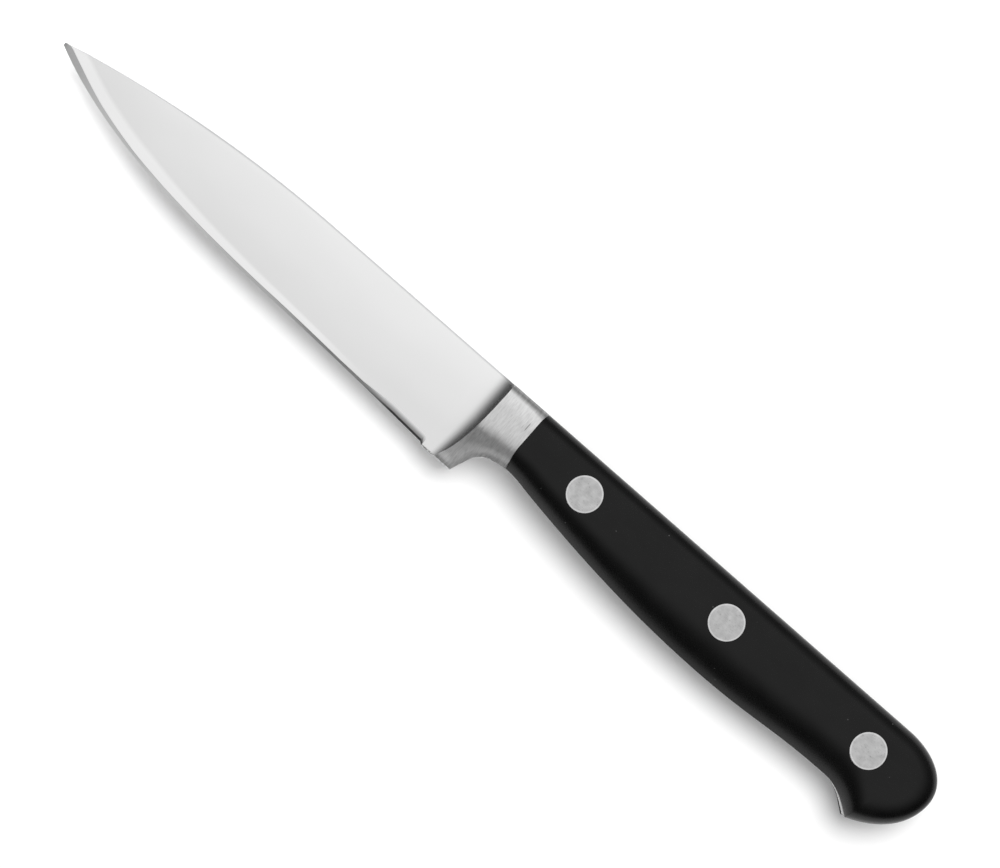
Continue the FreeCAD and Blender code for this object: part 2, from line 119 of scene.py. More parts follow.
# %% [markdown]
# The blade has a straight spine that drops to the tip and a belly that runs out almost straight to a
# small notch. Behind the notch the heel is left blunt, and its corner turns up into the hollow under
# the bolster, where a finger rests. Three open curves are enough, because the rows of the mesh will
# run from one to the other.

# %% Outline of the blade and the bolster
NOTCH = 94.5
HEEL = 95.1
HEEL_CORNER = 101.73
HEEL_DEPTH = 19.1
FRONT_BOTTOM = -12.2  # the lower front corner of the scales, flush with the bolster
SPINE = curve_points((
    knot(0.0, -6.8, 13.4, reach_out=18.4),
    knot(58.0, 0.0, 0.0, reach_in=20.6),
    knot(BUTT, 0.0, 0.0),
))
EDGE = curve_points((
    knot(0.0, -7.4, -25.4, reach_out=17.0),
    knot(56.0, -17.05, -1.9, reach_in=20.6, leave=-1.1, reach_out=13.0),
    knot(NOTCH, -18.65, -3.2, reach_in=13.0),
))
UNDERSIDE = curve_points((
    knot(HEEL, -HEEL_DEPTH, 0.0),
    knot(HEEL_CORNER, -HEEL_DEPTH, 0.0, leave=67.0, reach_out=5.1),
    knot(110.0, FRONT_BOTTOM, 6.0, reach_in=6.9),
))
print(f"the blade is {-EDGE[-1, 1]:.2f} mm deep at its notch and {HEEL_DEPTH:.2f} mm at its heel")

# %% [markdown]
# The handle starts at the bottom of the bolster, swells to the belly, draws in at the waist and hooks
# down to the beak that keeps a wet hand from slipping. Its rounded edge is broad along the belly,
# where the fingers close, and tight along the spine. Each piece could have an outline of its own, but
# scales and tang are ground flush together, so one outline is drawn for all. Only at the beak are the
# tang and the near scale tucked in a little, so that a bright sliver of tang shows there.

# %% Outline of the handle
HANDLE_KNOTS = (
    knot(JOINT, FRONT_BOTTOM, -90.0, leave=-6.0, reach_out=1.5, rim=4.6, drop=3.4, cut=0.85),
    knot(112.9, -12.66, -9.8, reach_in=1.5, reach_out=14.8, rim=4.9, drop=3.5, cut=0.85),
    knot(158.3, -17.05, 0.0, reach_in=15.7, reach_out=13.4, rim=7.8, drop=4.5, cut=0.85),
    knot(187.6, -15.8, 0.0, reach_in=13.3, reach_out=3.3, rim=7.1, drop=4.45, cut=0.85),
    knot(195.0, -19.3, -37.0, reach_in=2.9, leave=20.0, reach_out=3.7, rim=5.2, drop=4.2, cut=0.3),
    knot(BUTT, -7.7, 90.0, reach_in=6.7, reach_out=5.3, rim=4.2, drop=2.7),
    knot(194.1, 0.0, 180.0, reach_in=5.3, reach_out=26.0, rim=3.0, drop=3.0),
    knot(JOINT, 0.0, 180.0, reach_in=26.0, leave=-90.0, rim=2.6, drop=2.6),
)
WAIST, BEAK, BUTT_END = 3, 4, 5  # places in the list of knots
TANG_TUCK = 0.2
NEAR_TUCK, NEAR_LIFT = 0.5, 0.05


def tucked(back, up=0.0):
    """The handle's knots with the beak drawn back along its outline and the waist raised."""
    knots = list(HANDLE_KNOTS)
    shift = towards(knots[BEAK].leave) * back
    knots[WAIST] = knots[WAIST]._replace(y=knots[WAIST].y + up)
    knots[BEAK] = knots[BEAK]._replace(x=knots[BEAK].x + shift.x, y=knots[BEAK].y + shift.y)
    return knots


TANG_KNOTS = tucked(TANG_TUCK)
NEAR_KNOTS = tucked(NEAR_TUCK, NEAR_LIFT)
BELLY_LINE = curve_points(TANG_KNOTS[:BUTT_END + 1])
CROWN_LINE = curve_points(TANG_KNOTS[BUTT_END:])[::-1]
print(f"the tang is {-BELLY_LINE[:, 1].min():.1f} mm deep at the beak")

# %% [markdown]
# The forging is one piece of steel: blade, bolster and tang. Seen from the side, its face is a height
# over the plan, so it needn't be pushed into shape by hand. A rule gives the height off the middle
# plane for each place, and these functions are the words of the rule. `rounding` is a quarter round.
# `broken` is an edge that has only been rubbed: it steepens towards the edge but stays under 45
# degrees, so that the steel there mirrors the dim side of the room and not the white table.

# %% Words for heights
BREAK_RATE = 0.48 / math.sqrt(1.5)  # an edge broken over 1.5 mm loses 0.72 mm
BREAK_POWER = 1.5


def between(x, start, end):
    """0 up to start, 1 from end on, and an even rise between them."""
    return np.clip((x - start) / (end - start), 0.0, 1.0)


def eased(share):
    return share * share * (3 - 2 * share)


def mixed(one, other, share):
    return one + (other - one) * share


def rounding(depth, radius):
    """How much a rounded edge of this radius takes away at a depth below the edge."""
    inside = np.clip(radius - depth, 0.0, radius)
    return radius - np.sqrt(radius**2 - inside**2)


def broken(depth, reach):
    """How much a broken edge takes away at a depth below the edge."""
    return BREAK_RATE * np.clip(reach - depth, 0.0, None) ** BREAK_POWER


print(f"an edge broken over 1 mm loses {broken(0.0, 1.0):.2f} mm")

# %% [markdown]
# The blade tapers evenly, from the bolster to the tip and from the spine to the edge. At its back a
# hollow climbs to the bolster. A grinding wheel leaves it, so it is a part of a circle, with a smaller
# radius near the heel. It ends on a crisp line, the crease. That line could be worked out as the
# place where two surfaces cross, but the eye follows it, so it is drawn as a curve of its own.

# %% Heights of the blade
SPINE_HALF = (0.42, 1.0)  # half thickness on the level of the spine, at the tip and at the bolster
HEEL_HALF = (0.05, 0.5)  # half thickness on the level of the heel
EDGE_TAPER = 1.6  # the edge thins faster than the spine
SPINE_CORNER = 0.5
HOLLOW_LEVELS = (-HEEL_DEPTH, -16.0, -13.0, -9.0)
HOLLOW_STARTS = (96.8, 96.95, 97.1, 97.25)
HOLLOW_RADII = (3.4, 3.9, 4.5, 5.0)
CREASE = curve_points((
    knot(97.8, -HEEL_DEPTH, 55.0, reach_out=4.0),
    knot(100.72, 0.0, 90.0, reach_in=10.0),
))
WALL = CREASE[-1, 0]


def blade_half(x, y):
    along = between(x, 0.0, WALL)
    return mixed(mixed(*SPINE_HALF, along), mixed(*HEEL_HALF, along**EDGE_TAPER), -y / HEEL_DEPTH)


def hollow_half(x, y):
    radius = np.interp(y, HOLLOW_LEVELS, HOLLOW_RADII)
    reach = x - np.interp(y, HOLLOW_LEVELS, HOLLOW_STARTS)
    return blade_half(x, y) + rounding(radius - reach, radius) - broken(-y, SPINE_CORNER)


print(f"half thickness of the blade at the heel: {blade_half(WALL, -HEEL_DEPTH):.2f} mm")

# %% [markdown]
# The bolster is the thick collar that balances the knife and guards the finger. Its face is flat near
# the spine, then folds over with a soft step and falls away towards the heel. A box with bevelled
# edges would be simpler, but it would look cut, and this one is ground by hand on a belt. So the fold
# is a smooth step, deeper at the crease than at the joint with the scales.

# %% Heights of the bolster
CROWN_TOP = -5.0  # the face starts to fall away here
FOLD_FRONT, FOLD_BACK = -11.0, -9.7
FOLD_STEPS, FOLD_SOFTNESS = (0.7, 0.35), 1.2
FACET_SLOPE, FACET_EASE = 0.5, 0.01
ROUND_PLACES, ROUND_WIDTHS = (WALL, 106.0, JOINT), (1.4, 1.5, 1.9)


def fold_line(x):
    return mixed(FOLD_FRONT, FOLD_BACK, between(x, WALL, JOINT))


def spine_round(x):
    return np.interp(x, ROUND_PLACES, ROUND_WIDTHS)


def bolster_half(x, y):
    width = CROWN_TOP - fold_line(x)
    below = np.clip(CROWN_TOP - y, 0.0, None)
    soft, beyond = np.minimum(below, width), np.maximum(below - width, 0.0)
    fall = FACET_SLOPE * (soft**3 / (3 * width**2) + beyond - FACET_EASE * beyond**2)
    fold = mixed(*FOLD_STEPS, between(x, WALL, JOINT))
    step = fold * (1 + np.tanh((fold_line(x) - y) / FOLD_SOFTNESS)) / 2
    return HALF - fall - step - broken(-y, spine_round(x))


print(f"half thickness of the bolster at its lower front corner: {bolster_half(WALL, -HEEL_DEPTH):.2f} mm")

# %% [markdown]
# The mesh is a loft: rows of points run from the spine down to the edge at every station from tip to
# butt. A row keeps its part from end to end. The first rows round the spine, the next cover the face
# and the band above the edge, and the last ones are the honed bevel on the blade and the underside on
# the bolster. On a subdivided box the creases would wander. Here the lines of the mesh lie on the
# lines of the knife, and they stay crisp.

# %% Rows of the mesh
SPINE_ROWS, FACE_ROWS, BAND_ROWS, BEVEL_ROWS = 10, 12, 10, 14
ROWS = SPINE_ROWS + 1 + FACE_ROWS + BAND_ROWS + BEVEL_ROWS
ROW_SPLITS = np.cumsum((SPINE_ROWS + 1, FACE_ROWS, BAND_ROWS))
TURNS = np.linspace(0.0, math.pi / 2, SPINE_ROWS + 1)


def steps(start, end, count):
    return np.linspace(start, end, count + 1)[1:]


print("rows from spine to edge:", ROWS)

# %% [markdown]
# The honed bevel is the narrow strip that a whetstone leaves along the edge. It is broad at the tip,
# where the stone was tilted, narrow in the middle, and broad again at the heel, where it bulges too.
# A texture could paint it, but a strip that is tilted for real takes the light as it should; its finish
# adds painted shade on top.

# %% Rows of the blade
EDGE_LAND = 0.03
BAND_WIDTH = 2.3
BEVEL_PLACES = (0.0, 5.0, 12.0, 22.0, 58.0, 74.0, 80.0, 87.0, NOTCH)
BEVEL_WIDTHS = (1.5, 1.4, 0.9, 0.6, 0.65, 0.5, 0.6, 1.6, 1.6)
BEVEL_LIMIT = 0.94  # the largest share of the blade's depth
BULGES, BULGE_GROWS = (1.0, 2.1), (80.0, 87.0)
CORNER_SHARES, CORNER_GROWS = (0.5, 1.0), (12.0, 30.0)
NOSE_SHARE, NOSE_LENGTH = 0.45, 0.8


def nose(x):
    """The point is rubbed a little thinner than the taper leaves it."""
    return mixed(NOSE_SHARE, 1.0, math.sin(math.pi / 2 * between(x, 0.0, NOSE_LENGTH)))


def blade_rows(x):
    top, bottom = height_at(SPINE, x), height_at(EDGE, x)
    depth = top - bottom
    bevel = min(np.interp(x, BEVEL_PLACES, BEVEL_WIDTHS), BEVEL_LIMIT * depth)
    corner = min(SPINE_CORNER * mixed(*CORNER_SHARES, between(x, *CORNER_GROWS)), (depth - bevel) / 3)
    band = min(BAND_WIDTH, (depth - bevel - corner) / 2)
    shoulder = bottom + bevel
    y = np.concatenate((
        top - corner + corner * np.cos(TURNS),
        steps(top - corner, shoulder + band, FACE_ROWS),
        steps(shoulder + band, shoulder, BAND_ROWS),
        steps(shoulder, bottom, BEVEL_ROWS),
    ))
    z = blade_half(x, y) - broken(top - y, corner)
    bulge = mixed(*BULGES, between(x, *BULGE_GROWS))
    z[-BEVEL_ROWS:] = mixed(blade_half(x, shoulder), EDGE_LAND, steps(0.0, 1.0, BEVEL_ROWS) ** bulge)
    return np.full_like(y, x), y, z * nose(x)


print(f"thickness at the very tip: {2 * blade_rows(0.0)[2].max():.2f} mm")

# %% [markdown]
# Behind the notch the same rows slide over to the bolster, so that no row starts or ends on the way.
# The underside is rounded off by its distance to the outline below, and just above it the steel
# swells into a slight lip, as it does where a belt has been drawn along an edge.

# %% Rows of the bolster
FACE_FRONT, BAND_FRONT = -15.0, -17.3  # lower ends of the face and band rows behind the notch
FACE_SHARE = 0.4  # how far the face rows reach from the crown to the fold
UNDER_PLACES, UNDER_ROUNDS = (HEEL, WALL, JOINT), (0.35, 0.25, 0.15)
LIP_HEIGHT, LIP_PLACE, LIP_WIDTH = 0.13, 0.85, 0.8


def bolster_y(x, share):
    """Heights of all rows, sliding from the blade's spacing to the bolster's."""
    corner = mixed(SPINE_CORNER, spine_round(x), share)
    face_end = mixed(FACE_FRONT, mixed(CROWN_TOP, fold_line(x), FACE_SHARE), share)
    band_end = mixed(BAND_FRONT, fold_line(x), share)
    bottom = height_at(UNDERSIDE, x)
    down = steps(0.0, 1.0, BEVEL_ROWS)
    spine, face, band, bevel = np.split(np.arange(len(x)), ROW_SPLITS)
    return np.concatenate((
        -corner[spine] * (1 - np.cos(TURNS)),
        mixed(-corner[face], face_end[face], steps(0.0, 1.0, FACE_ROWS)),
        mixed(face_end[band], band_end[band], steps(0.0, 1.0, BAND_ROWS)),
        mixed(band_end[bevel], bottom[bevel], 1 - (1 - down) ** 2),
    ))


def to_underside(x, y):
    gaps = np.hypot(UNDERSIDE[None, :, 0] - x[:, None], UNDERSIDE[None, :, 1] - y[:, None])
    return gaps.min(axis=1)


def without_underside(x, y, half):
    return half - rounding(to_underside(x, y), np.interp(x, UNDER_PLACES, UNDER_ROUNDS))


def bolster_height(x, y):
    lip = LIP_HEIGHT * np.exp(-(((to_underside(x, y) - LIP_PLACE) / LIP_WIDTH) ** 2))
    return without_underside(x, y, bolster_half(x, y) + lip)


print(f"the lip stands {LIP_HEIGHT:.2f} mm proud, {LIP_PLACE:.2f} mm above the underside")

# %% [markdown]
# The bolster starts on the crease and ends on its rear face, which slopes so that the scales can be
# slid up tight. A row shifts as its end moves along, and its end depends on where the row lies. A
# formula for that would be long, so both ends start from a guess and are corrected a few times.

# %% Ends of the bolster
JOINT_ANGLE = 15.0
JOINT_SLOPE = math.tan(math.radians(JOINT_ANGLE))
CREASE_PASSES, JOINT_PASSES = 10, 20
on_bolster = np.ones(ROWS)
crease = np.full(ROWS, WALL)
for _ in range(CREASE_PASSES):
    crease = np.interp(bolster_y(crease, on_bolster), CREASE[:, 1], CREASE[:, 0])
joint = np.full(ROWS, JOINT)
for _ in range(JOINT_PASSES):
    joint = JOINT + (HALF - bolster_height(joint, bolster_y(joint, on_bolster))) * JOINT_SLOPE
print(f"the crease runs from {crease[0]:.2f} mm behind the tip at the spine to {crease[-1]:.2f} mm below")

# %% [markdown]
# Stations are cuts across the knife. With even gaps from end to end, many would be spent on the plain
# blade and too few where the surface turns. So they stand close at the very tip and in the hollow.
# One station of the bolster is put through the corner of the heel, so that the corner stays sharp.

# %% Stations of the blade and the bolster
TIP_STATIONS, EVEN_FROM = (0.0, 0.1, 0.25, 0.5, 0.8), 1.2
BLADE_STATIONS, HOLLOW_STATIONS, BOLSTER_STATIONS = 110, 25, 49
sections, parts = [], []
for x in np.concatenate((TIP_STATIONS, np.linspace(EVEN_FROM, NOTCH, BLADE_STATIONS))):
    sections.append(blade_rows(x))
    parts.append("blade")
for share in np.linspace(0.0, 1.0, HOLLOW_STATIONS):
    x = mixed(HEEL, crease, share)
    y = bolster_y(x, np.full(ROWS, eased(share)))
    sections.append((x, y, without_underside(x, y, hollow_half(x, y))))
    parts.append("hollow" if share > 0 else "notch")
heel_share = (HEEL_CORNER - crease[-1]) / (joint[-1] - crease[-1])
for share in np.sort(np.append(np.linspace(0.0, 1.0, BOLSTER_STATIONS), heel_share)):
    x = mixed(crease, joint, share)
    y = bolster_y(x, on_bolster)
    sections.append((x, y, bolster_height(x, y)))
    parts.append("bolster")
print(f"{len(sections)} stations from the tip to the joint")

# %% [markdown]
# The tang is a flat plate as wide as the handle, and only its rim shows between the scales. It goes
# on from the bolster with the same rows, spread evenly, and its stations crowd towards the round
# butt. The last bit is upright, so that one small flat face can close the end.

# %% Stations of the tang
TANG_START = JOINT + (HALF - HALF_TANG) * JOINT_SLOPE
TANG_STATIONS = 120
BUTT_FLAT = 0.01
deep = np.linspace(0.0, 1.0, ROWS)
for share in np.sin(np.linspace(0.0, 1.0, TANG_STATIONS) * math.pi / 2):
    x = np.full(ROWS, mixed(TANG_START, BUTT, share))
    level = np.minimum(x, BUTT - BUTT_FLAT)
    y = mixed(height_at(CROWN_LINE, level), height_at(BELLY_LINE, level), deep)
    sections.append((x, y, np.full(ROWS, HALF_TANG)))
    parts.append("tang")
print(f"{len(sections)} stations of {ROWS} rows")

# %% [markdown]
# One small class carries all node work. It wraps an output socket, so that sums of sockets can be
# written as sums in Python, and its one method `add` makes any other node: settings first, then the
# values or links of its inputs. The same class serves materials, the world and Geometry Nodes. The
# nodes could be linked one by one, but a formula is easier to read than a list of links.

# %% A socket that can be added up
def grey(level):
    return (level, level, level, 1.0)


def set_stops(elements, stops):
    while len(elements) < len(stops):
        elements.new(1.0)
    for element, (position, level) in zip(elements, stops):
        element.position = position
        element.color = grey(level)


class Wire:
    """An output socket of a node tree."""

    def __init__(self, tree, socket=None):
        self.tree = tree
        self.socket = socket

    def add(self, kind, settings=None, inputs=None, out=0):
        node = self.tree.nodes.new(kind)
        for name, value in (settings or {}).items():
            if name == "stops":
                set_stops(node.color_ramp.elements, value)
            else:
                setattr(node, name, value)
        for name, value in (inputs or {}).items():
            if isinstance(value, Wire):
                self.tree.links.new(value.socket, node.inputs[name])
            else:
                node.inputs[name].default_value = value
        return Wire(self.tree, node.outputs[out] if node.outputs else None)

    def other(self, name):
        """Another output of the same node."""
        return Wire(self.tree, self.socket.node.outputs[name])

    def maths(self, operation, one, two=0.0):
        return self.add("ShaderNodeMath", {"operation": operation}, {0: one, 1: two})

    def __add__(self, value):
        return self.maths("ADD", self, value)

    def __sub__(self, value):
        return self.maths("SUBTRACT", self, value)

    def __rsub__(self, value):
        return self.maths("SUBTRACT", value, self)

    def __mul__(self, value):
        return self.maths("MULTIPLY", self, value)

    def __truediv__(self, value):
        return self.maths("DIVIDE", self, value)

    __radd__ = __add__
    __rmul__ = __mul__


print("wires: + - * / and any node")

# %% [markdown]
# A finish is a Principled shader whose colour and roughness change a little from place to place.
# Brushed steel is a noise that is squeezed one way and stretched the other, so that it draws fine
# lines, and the same lines tilt the surface through a bump. Larger, softer noise keeps a face from
# looking like paint. A photographed texture would bring its own light with it. These noise patterns
# don't, and because they read Object coordinates, they stay on the steel in every view. Some finishes
# below also paint highlight and shade into their colour with ramps.

# %% Patterns for finishes
def new_material(name):
    material = bpy.data.materials.new(name)
    material.use_nodes = True
    material.node_tree.nodes.clear()
    return material


def swing(noise, width):
    """A noise as a push up and down, this wide from end to end."""
    return (noise - 0.5) * width


class Patterns:
    """A material under construction: its tree, its object coordinates and a few patterns."""

    def __init__(self, name):
        self.material = new_material(name)
        self.wire = Wire(self.material.node_tree)
        self.place = self.wire.add("ShaderNodeTexCoord", out="Object")

    def stretched(self, cell, turn=0.0):
        """Coordinates that grow by 1 over this many millimetres along x, y and z."""
        return self.wire.add("ShaderNodeMapping", {"vector_type": "POINT"}, {
            "Vector": self.place, "Scale": [1 / (size * MM) for size in cell],
            "Rotation": (0.0, 0.0, math.radians(turn)),
        })

    def noise(self, cell, detail=2.0, turn=0.0):
        """Noise with features of about this many millimetres along x, y and z."""
        return self.wire.add("ShaderNodeTexNoise", {}, {
            "Vector": self.stretched(cell, turn), "Scale": 1.0, "Detail": detail,
        })

    def ramp(self, value, stops):
        return self.wire.add("ShaderNodeValToRGB", {"stops": stops}, {"Fac": value})

    def attribute(self, name):
        return self.wire.add("ShaderNodeAttribute", {"attribute_name": name}, out="Fac")

    def ranged(self, axis, low, high):
        place = self.wire.add("ShaderNodeSeparateXYZ", {}, {0: self.place}, out=axis)
        return self.wire.add("ShaderNodeMapRange", {"clamp": True}, {
            "Value": place, "From Min": low, "From Max": high,
        })

    def along(self, start, end):
        """0 nearer to the tip than start, 1 behind end, both in millimetres."""
        return self.ranged("X", in_frame(start, 0).x, in_frame(end, 0).x)

    def upward(self, start, end):
        """0 below the level start, 1 above end, both in millimetres over the spine line."""
        return self.ranged("Y", in_frame(0, start).y, in_frame(0, end).y)

    def spot(self, centre, reach):
        """1 at a place on the knife, and 0 from this many millimetres along x, y and z."""
        place = self.wire.add("ShaderNodeMapping", {"vector_type": "TEXTURE"}, {
            "Vector": self.place, "Location": in_frame(*centre), "Scale": [size * MM for size in reach],
        })
        off = self.wire.add("ShaderNodeVectorMath", {"operation": "LENGTH"}, {0: place}, out="Value")
        return self.ramp(off, ((0.5, 1.0), (1.0, 0.0)))


print("patterns: noise, ramp, attribute, along, upward, spot")

# %% [markdown]
# A pattern ends in one of three places: the colour, the roughness or a bump that tilts the surface.
# All steel here is a bare, neutral metal, so one method closes such a finish, and the plastic uses
# the more general one below it.

# %% Close a finish
class Finish(Patterns):
    """Patterns that end in a Principled shader."""

    def neutral(self, shade):
        return self.wire.add("ShaderNodeCombineColor", {}, {"Red": shade, "Green": shade, "Blue": shade})

    def bump(self, height, depth, strength):
        return self.wire.add("ShaderNodeBump", {}, {
            "Height": height, "Distance": depth * MM, "Strength": strength,
        })

    def metal(self, shade, roughness, grain, depth=0.006, strength=0.4):
        """Bare metal with a grain this many millimetres deep."""
        return self.done(
            base_color=self.neutral(shade), metallic=1.0, roughness=roughness,
            normal=self.bump(grain, depth, strength),
        )

    def done(self, **inputs):
        named = {}
        for name, value in inputs.items():
            title = name.replace("_", " ").title()
            named[title.replace("Ior", "IOR")] = value
        shader = self.wire.add("ShaderNodeBsdfPrincipled", {}, named)
        self.wire.add("ShaderNodeOutputMaterial", {}, {"Surface": shader})
        print("finish:", self.material.name)
        return self.material


print("ends of a finish: metal, done")

# %% [markdown]
# The blade is ground across its length, so its lines run from spine to edge and are so fine that the
# face looks almost even. Along the front two thirds a painted highlight lies above the bevel as a paler
# band of colour, standing for the brighter reflection of the slightly curved steel there, and the face
# is painted paler towards the spine as well. The mesh stores how far each point is above the bevel, and
# the band follows that number. A band drawn over plain coordinates couldn't follow the curved edge.

# %% Finish of the blade
BLADE_TONE, BLADE_ROUGHNESS = 0.74, 0.24
HIGHLIGHT_NARROWS, HIGHLIGHT_FADES = (25.0, 75.0), (68.0, 80.0)  # millimetres behind the tip


def ground_blade():
    finish = Finish("ground_blade")
    lines = finish.noise((0.12, 9.0, 9.0), detail=3.0)
    cloud = finish.noise((14.0, 6.0, 6.0), detail=1.0)
    above = finish.attribute("above_edge")
    narrowed = above * (1 + finish.along(*HIGHLIGHT_NARROWS))
    # Painted highlight: band is a paler strip just above the bevel, and rise paints the face paler towards
    # the spine.
    band = finish.ramp(narrowed, ((0.0, 1.0), (0.085, 1.0), (0.13, 0.0)))
    rise = finish.ramp(above, ((0.12, 0.0), (0.8, 1.0)))
    front = 1 - finish.along(*HIGHLIGHT_FADES)
    shade = BLADE_TONE + band * front * 0.11 + rise * 0.1 + swing(cloud, 0.03) + swing(lines, 0.02)
    return finish.metal(shade, BLADE_ROUGHNESS + swing(lines, 0.08), lines, depth=0.002, strength=0.2)


blade_finish = ground_blade()

# %% [markdown]
# The honed edge is rougher than the blade, and painted shade makes it unequally bright along its
# length. At the tip it is painted grey, the shade clears towards the middle, and at the heel the lower
# half is painted nearly black, standing for the dark reflection of the steep bevel there. The same
# stored number, negative below the shoulder of the bevel, tells the upper half from the lower one.

# %% Finish of the honed edge
EDGE_TONE, EDGE_ROUGHNESS = 0.94, 0.42
TIP_CLEARS, FRONT_CLEARS = (5.0, 12.0), (12.0, 30.0)  # millimetres behind the tip
# Ranges in millimetres behind the tip over which the painted shade grows.
MIDDLE_SHADE_GROWS, REAR_SHADE_GROWS, HEEL_SHADE_GROWS = (28.0, 50.0), (62.0, 72.0), (79.0, 87.0)


def honed_edge():
    finish = Finish("honed_edge")
    lines = finish.noise((0.1, 0.5, 0.5), detail=3.0)
    above = finish.attribute("above_edge")
    low = finish.ramp(0 - above, ((0.05, 0.0), (0.45, 0.42), (0.7, 0.5), (0.8, 1.0)))
    heel = finish.along(*HEEL_SHADE_GROWS)
    tip = (1 - finish.along(*TIP_CLEARS)) * 0.17 + (1 - finish.along(*FRONT_CLEARS)) * 0.2
    middle = finish.along(*MIDDLE_SHADE_GROWS) * 0.08 + finish.along(*REAR_SHADE_GROWS) * 0.22
    # This sum is painted shade: grey at the tip, darker from the middle back, nearly black low at the
    # heel.
    painted_shade = middle * (1 - heel) + heel * low * 0.84 + tip
    shade = EDGE_TONE - painted_shade + swing(lines, 0.16)
    return finish.metal(shade, EDGE_ROUGHNESS + swing(lines, 0.2), lines)


edge_finish = honed_edge()

# %% [markdown]
# The bolster is brushed on a coarser belt. One noise would look combed, so two at slightly different
# angles cross each other, as strokes do when the piece is turned in the hand. Near the spine the face
# is painted paler, a painted highlight, with a painted shade line where the rounding begins, and one
# small nick in the steel is a single dark spot.

# %% Finish of the bolster
BOLSTER_TONE, BOLSTER_ROUGHNESS = 0.67, 0.4
NICK_PLACE, NICK_REACH = (107.25, -4.2, 6.4), (0.13, 1.1, 2.0)


def brushed_bolster():
    finish = Finish("brushed_bolster")
    lines = finish.noise((0.12, 1.2, 1.2), detail=4.0, turn=4.0)
    coarse = finish.noise((0.35, 1.9, 1.9), detail=3.0, turn=-6.0)
    patch = finish.noise((1.3, 1.3, 1.3), detail=2.0)
    grain = lines * 0.5 + coarse * 0.5
    level = finish.upward(CROWN_TOP, 0.0)
    # spine is a painted highlight near the spine, and line is a painted shade line where the rounding
    # begins.
    spine = finish.ramp(level, ((0.1, 0.0), (0.55, 1.0), (0.7, 1.0), (0.82, 0.0)))
    line = finish.ramp(level, ((0.8, 0.0), (0.87, 1.0), (0.9, 1.0), (0.96, 0.0)))
    # This dark sum is the painted shade line together with the real nick.
    dark = line * 0.25 + finish.spot(NICK_PLACE, NICK_REACH) * 0.45
    shade = BOLSTER_TONE + swing(grain, 0.75) + swing(patch, 0.14) + spine * 0.13 - dark
    return finish.metal(shade, BOLSTER_ROUGHNESS + swing(grain, 0.3), grain, depth=0.012, strength=0.5)


bolster_finish = brushed_bolster()

# %% [markdown]
# Of the tang only the rim shows, a bright strip between the scales. The finish of the bolster would
# draw its lines across the strip. But the strip is sanded together with the scales, so its lines run
# along it, and the noise is squeezed through the thickness.

# %% Finish of the tang
TANG_TONE, TANG_ROUGHNESS = 0.7, 0.34


def tang_strip():
    finish = Finish("tang_strip")
    lines = finish.noise((3.0, 3.0, 0.1), detail=3.0)
    return finish.metal(TANG_TONE + swing(lines, 0.25), TANG_ROUGHNESS + swing(lines, 0.2), lines)


tang_finish = tang_strip()

# %% [markdown]
# The scales are moulded from black plastic with a satin skin: almost no colour of its own, a soft
# highlight and a fine grain. A few tiny pale specks of dust sit on it. They are the centres of a cell
# pattern, so that they are scattered but never crowd.

# %% Finish of the scales
PLASTIC_TONE, PLASTIC_ROUGHNESS, PLASTIC_GLOSS = 0.001, 0.27, 0.24
SPECK_GAP = 3.4


def black_scale():
    finish = Finish("black_scale")
    skin = finish.noise((0.25, 0.25, 0.25), detail=2.0)
    cloud = finish.noise((5.0, 3.0, 3.0), detail=3.0)
    cells = finish.stretched((SPECK_GAP, SPECK_GAP, SPECK_GAP))
    near = finish.wire.add("ShaderNodeTexVoronoi", {}, {"Vector": cells, "Scale": 1.0}, out="Distance")
    speck = finish.ramp(near, ((0.0, 1.0), (0.03, 1.0), (0.045, 0.0)))
    shade = PLASTIC_TONE + swing(cloud, 0.004) + speck * 0.045
    return finish.done(
        base_color=finish.neutral(shade), metallic=0.0, specular_ior_level=PLASTIC_GLOSS,
        roughness=PLASTIC_ROUGHNESS + swing(skin, 0.1) + swing(cloud, 0.06),
        normal=finish.bump(skin, depth=0.006, strength=0.8),
    )


plastic = black_scale()

# %% [markdown]
# The rivet heads are ground flush with the scales, which leaves them matt, cloudy and a little pitted,
# and a painted highlight gives them a paler ring near the rim. The ring follows the distance from the
# rivet's own axis. All three rivets share the material, so that distance is stored on the mesh where
# each one is turned.

# %% Finish of the rivets
RIVET_TONE, RIVET_ROUGHNESS = 0.51, 0.34
AXIS_REACH = 4  # millimetres from the axis that count as 1 on the ramp


def rivet_steel():
    finish = Finish("rivet_steel")
    lines = finish.noise((0.9, 0.14, 0.9), detail=3.0, turn=35.0)
    cloud = finish.noise((1.1, 1.1, 1.1), detail=2.0)
    pits = finish.noise((0.35, 0.35, 0.35), detail=1.0)
    pit = finish.ramp(pits, ((0.0, 1.0), (0.28, 1.0), (0.34, 0.0)))
    # Painted highlight: rim is a paler ring near the edge of each head.
    rim = finish.ramp(finish.attribute("from_axis") / AXIS_REACH, ((0.755, 0.0), (0.785, 1.0)))
    shade = RIVET_TONE + rim * 0.16 + swing(cloud, 0.3) + swing(lines, 0.2) - pit * 0.12
    return finish.metal(shade, RIVET_ROUGHNESS + swing(lines, 0.2), lines)


steel = rivet_steel()

# %% [markdown]
# Now the loft becomes a mesh. At each station a ring of points goes down the near side and up the far
# side, with one point on the middle plane at the spine and one at the edge. Neighbouring rings are
# joined with quads, and one flat face closes each end.

# %% Rings and faces of the forging
BLADE_NUMBER, EDGE_NUMBER, BOLSTER_NUMBER, TANG_NUMBER = range(4)


def ring(section):
    x, y, z = section
    near = [in_frame(*point) for point in zip(x, y, z)]
    far = [in_frame(*point) for point in zip(x, y, -z)]
    return [in_frame(x[0], y[0])] + near + [in_frame(x[-1], y[-1])] + far[::-1]


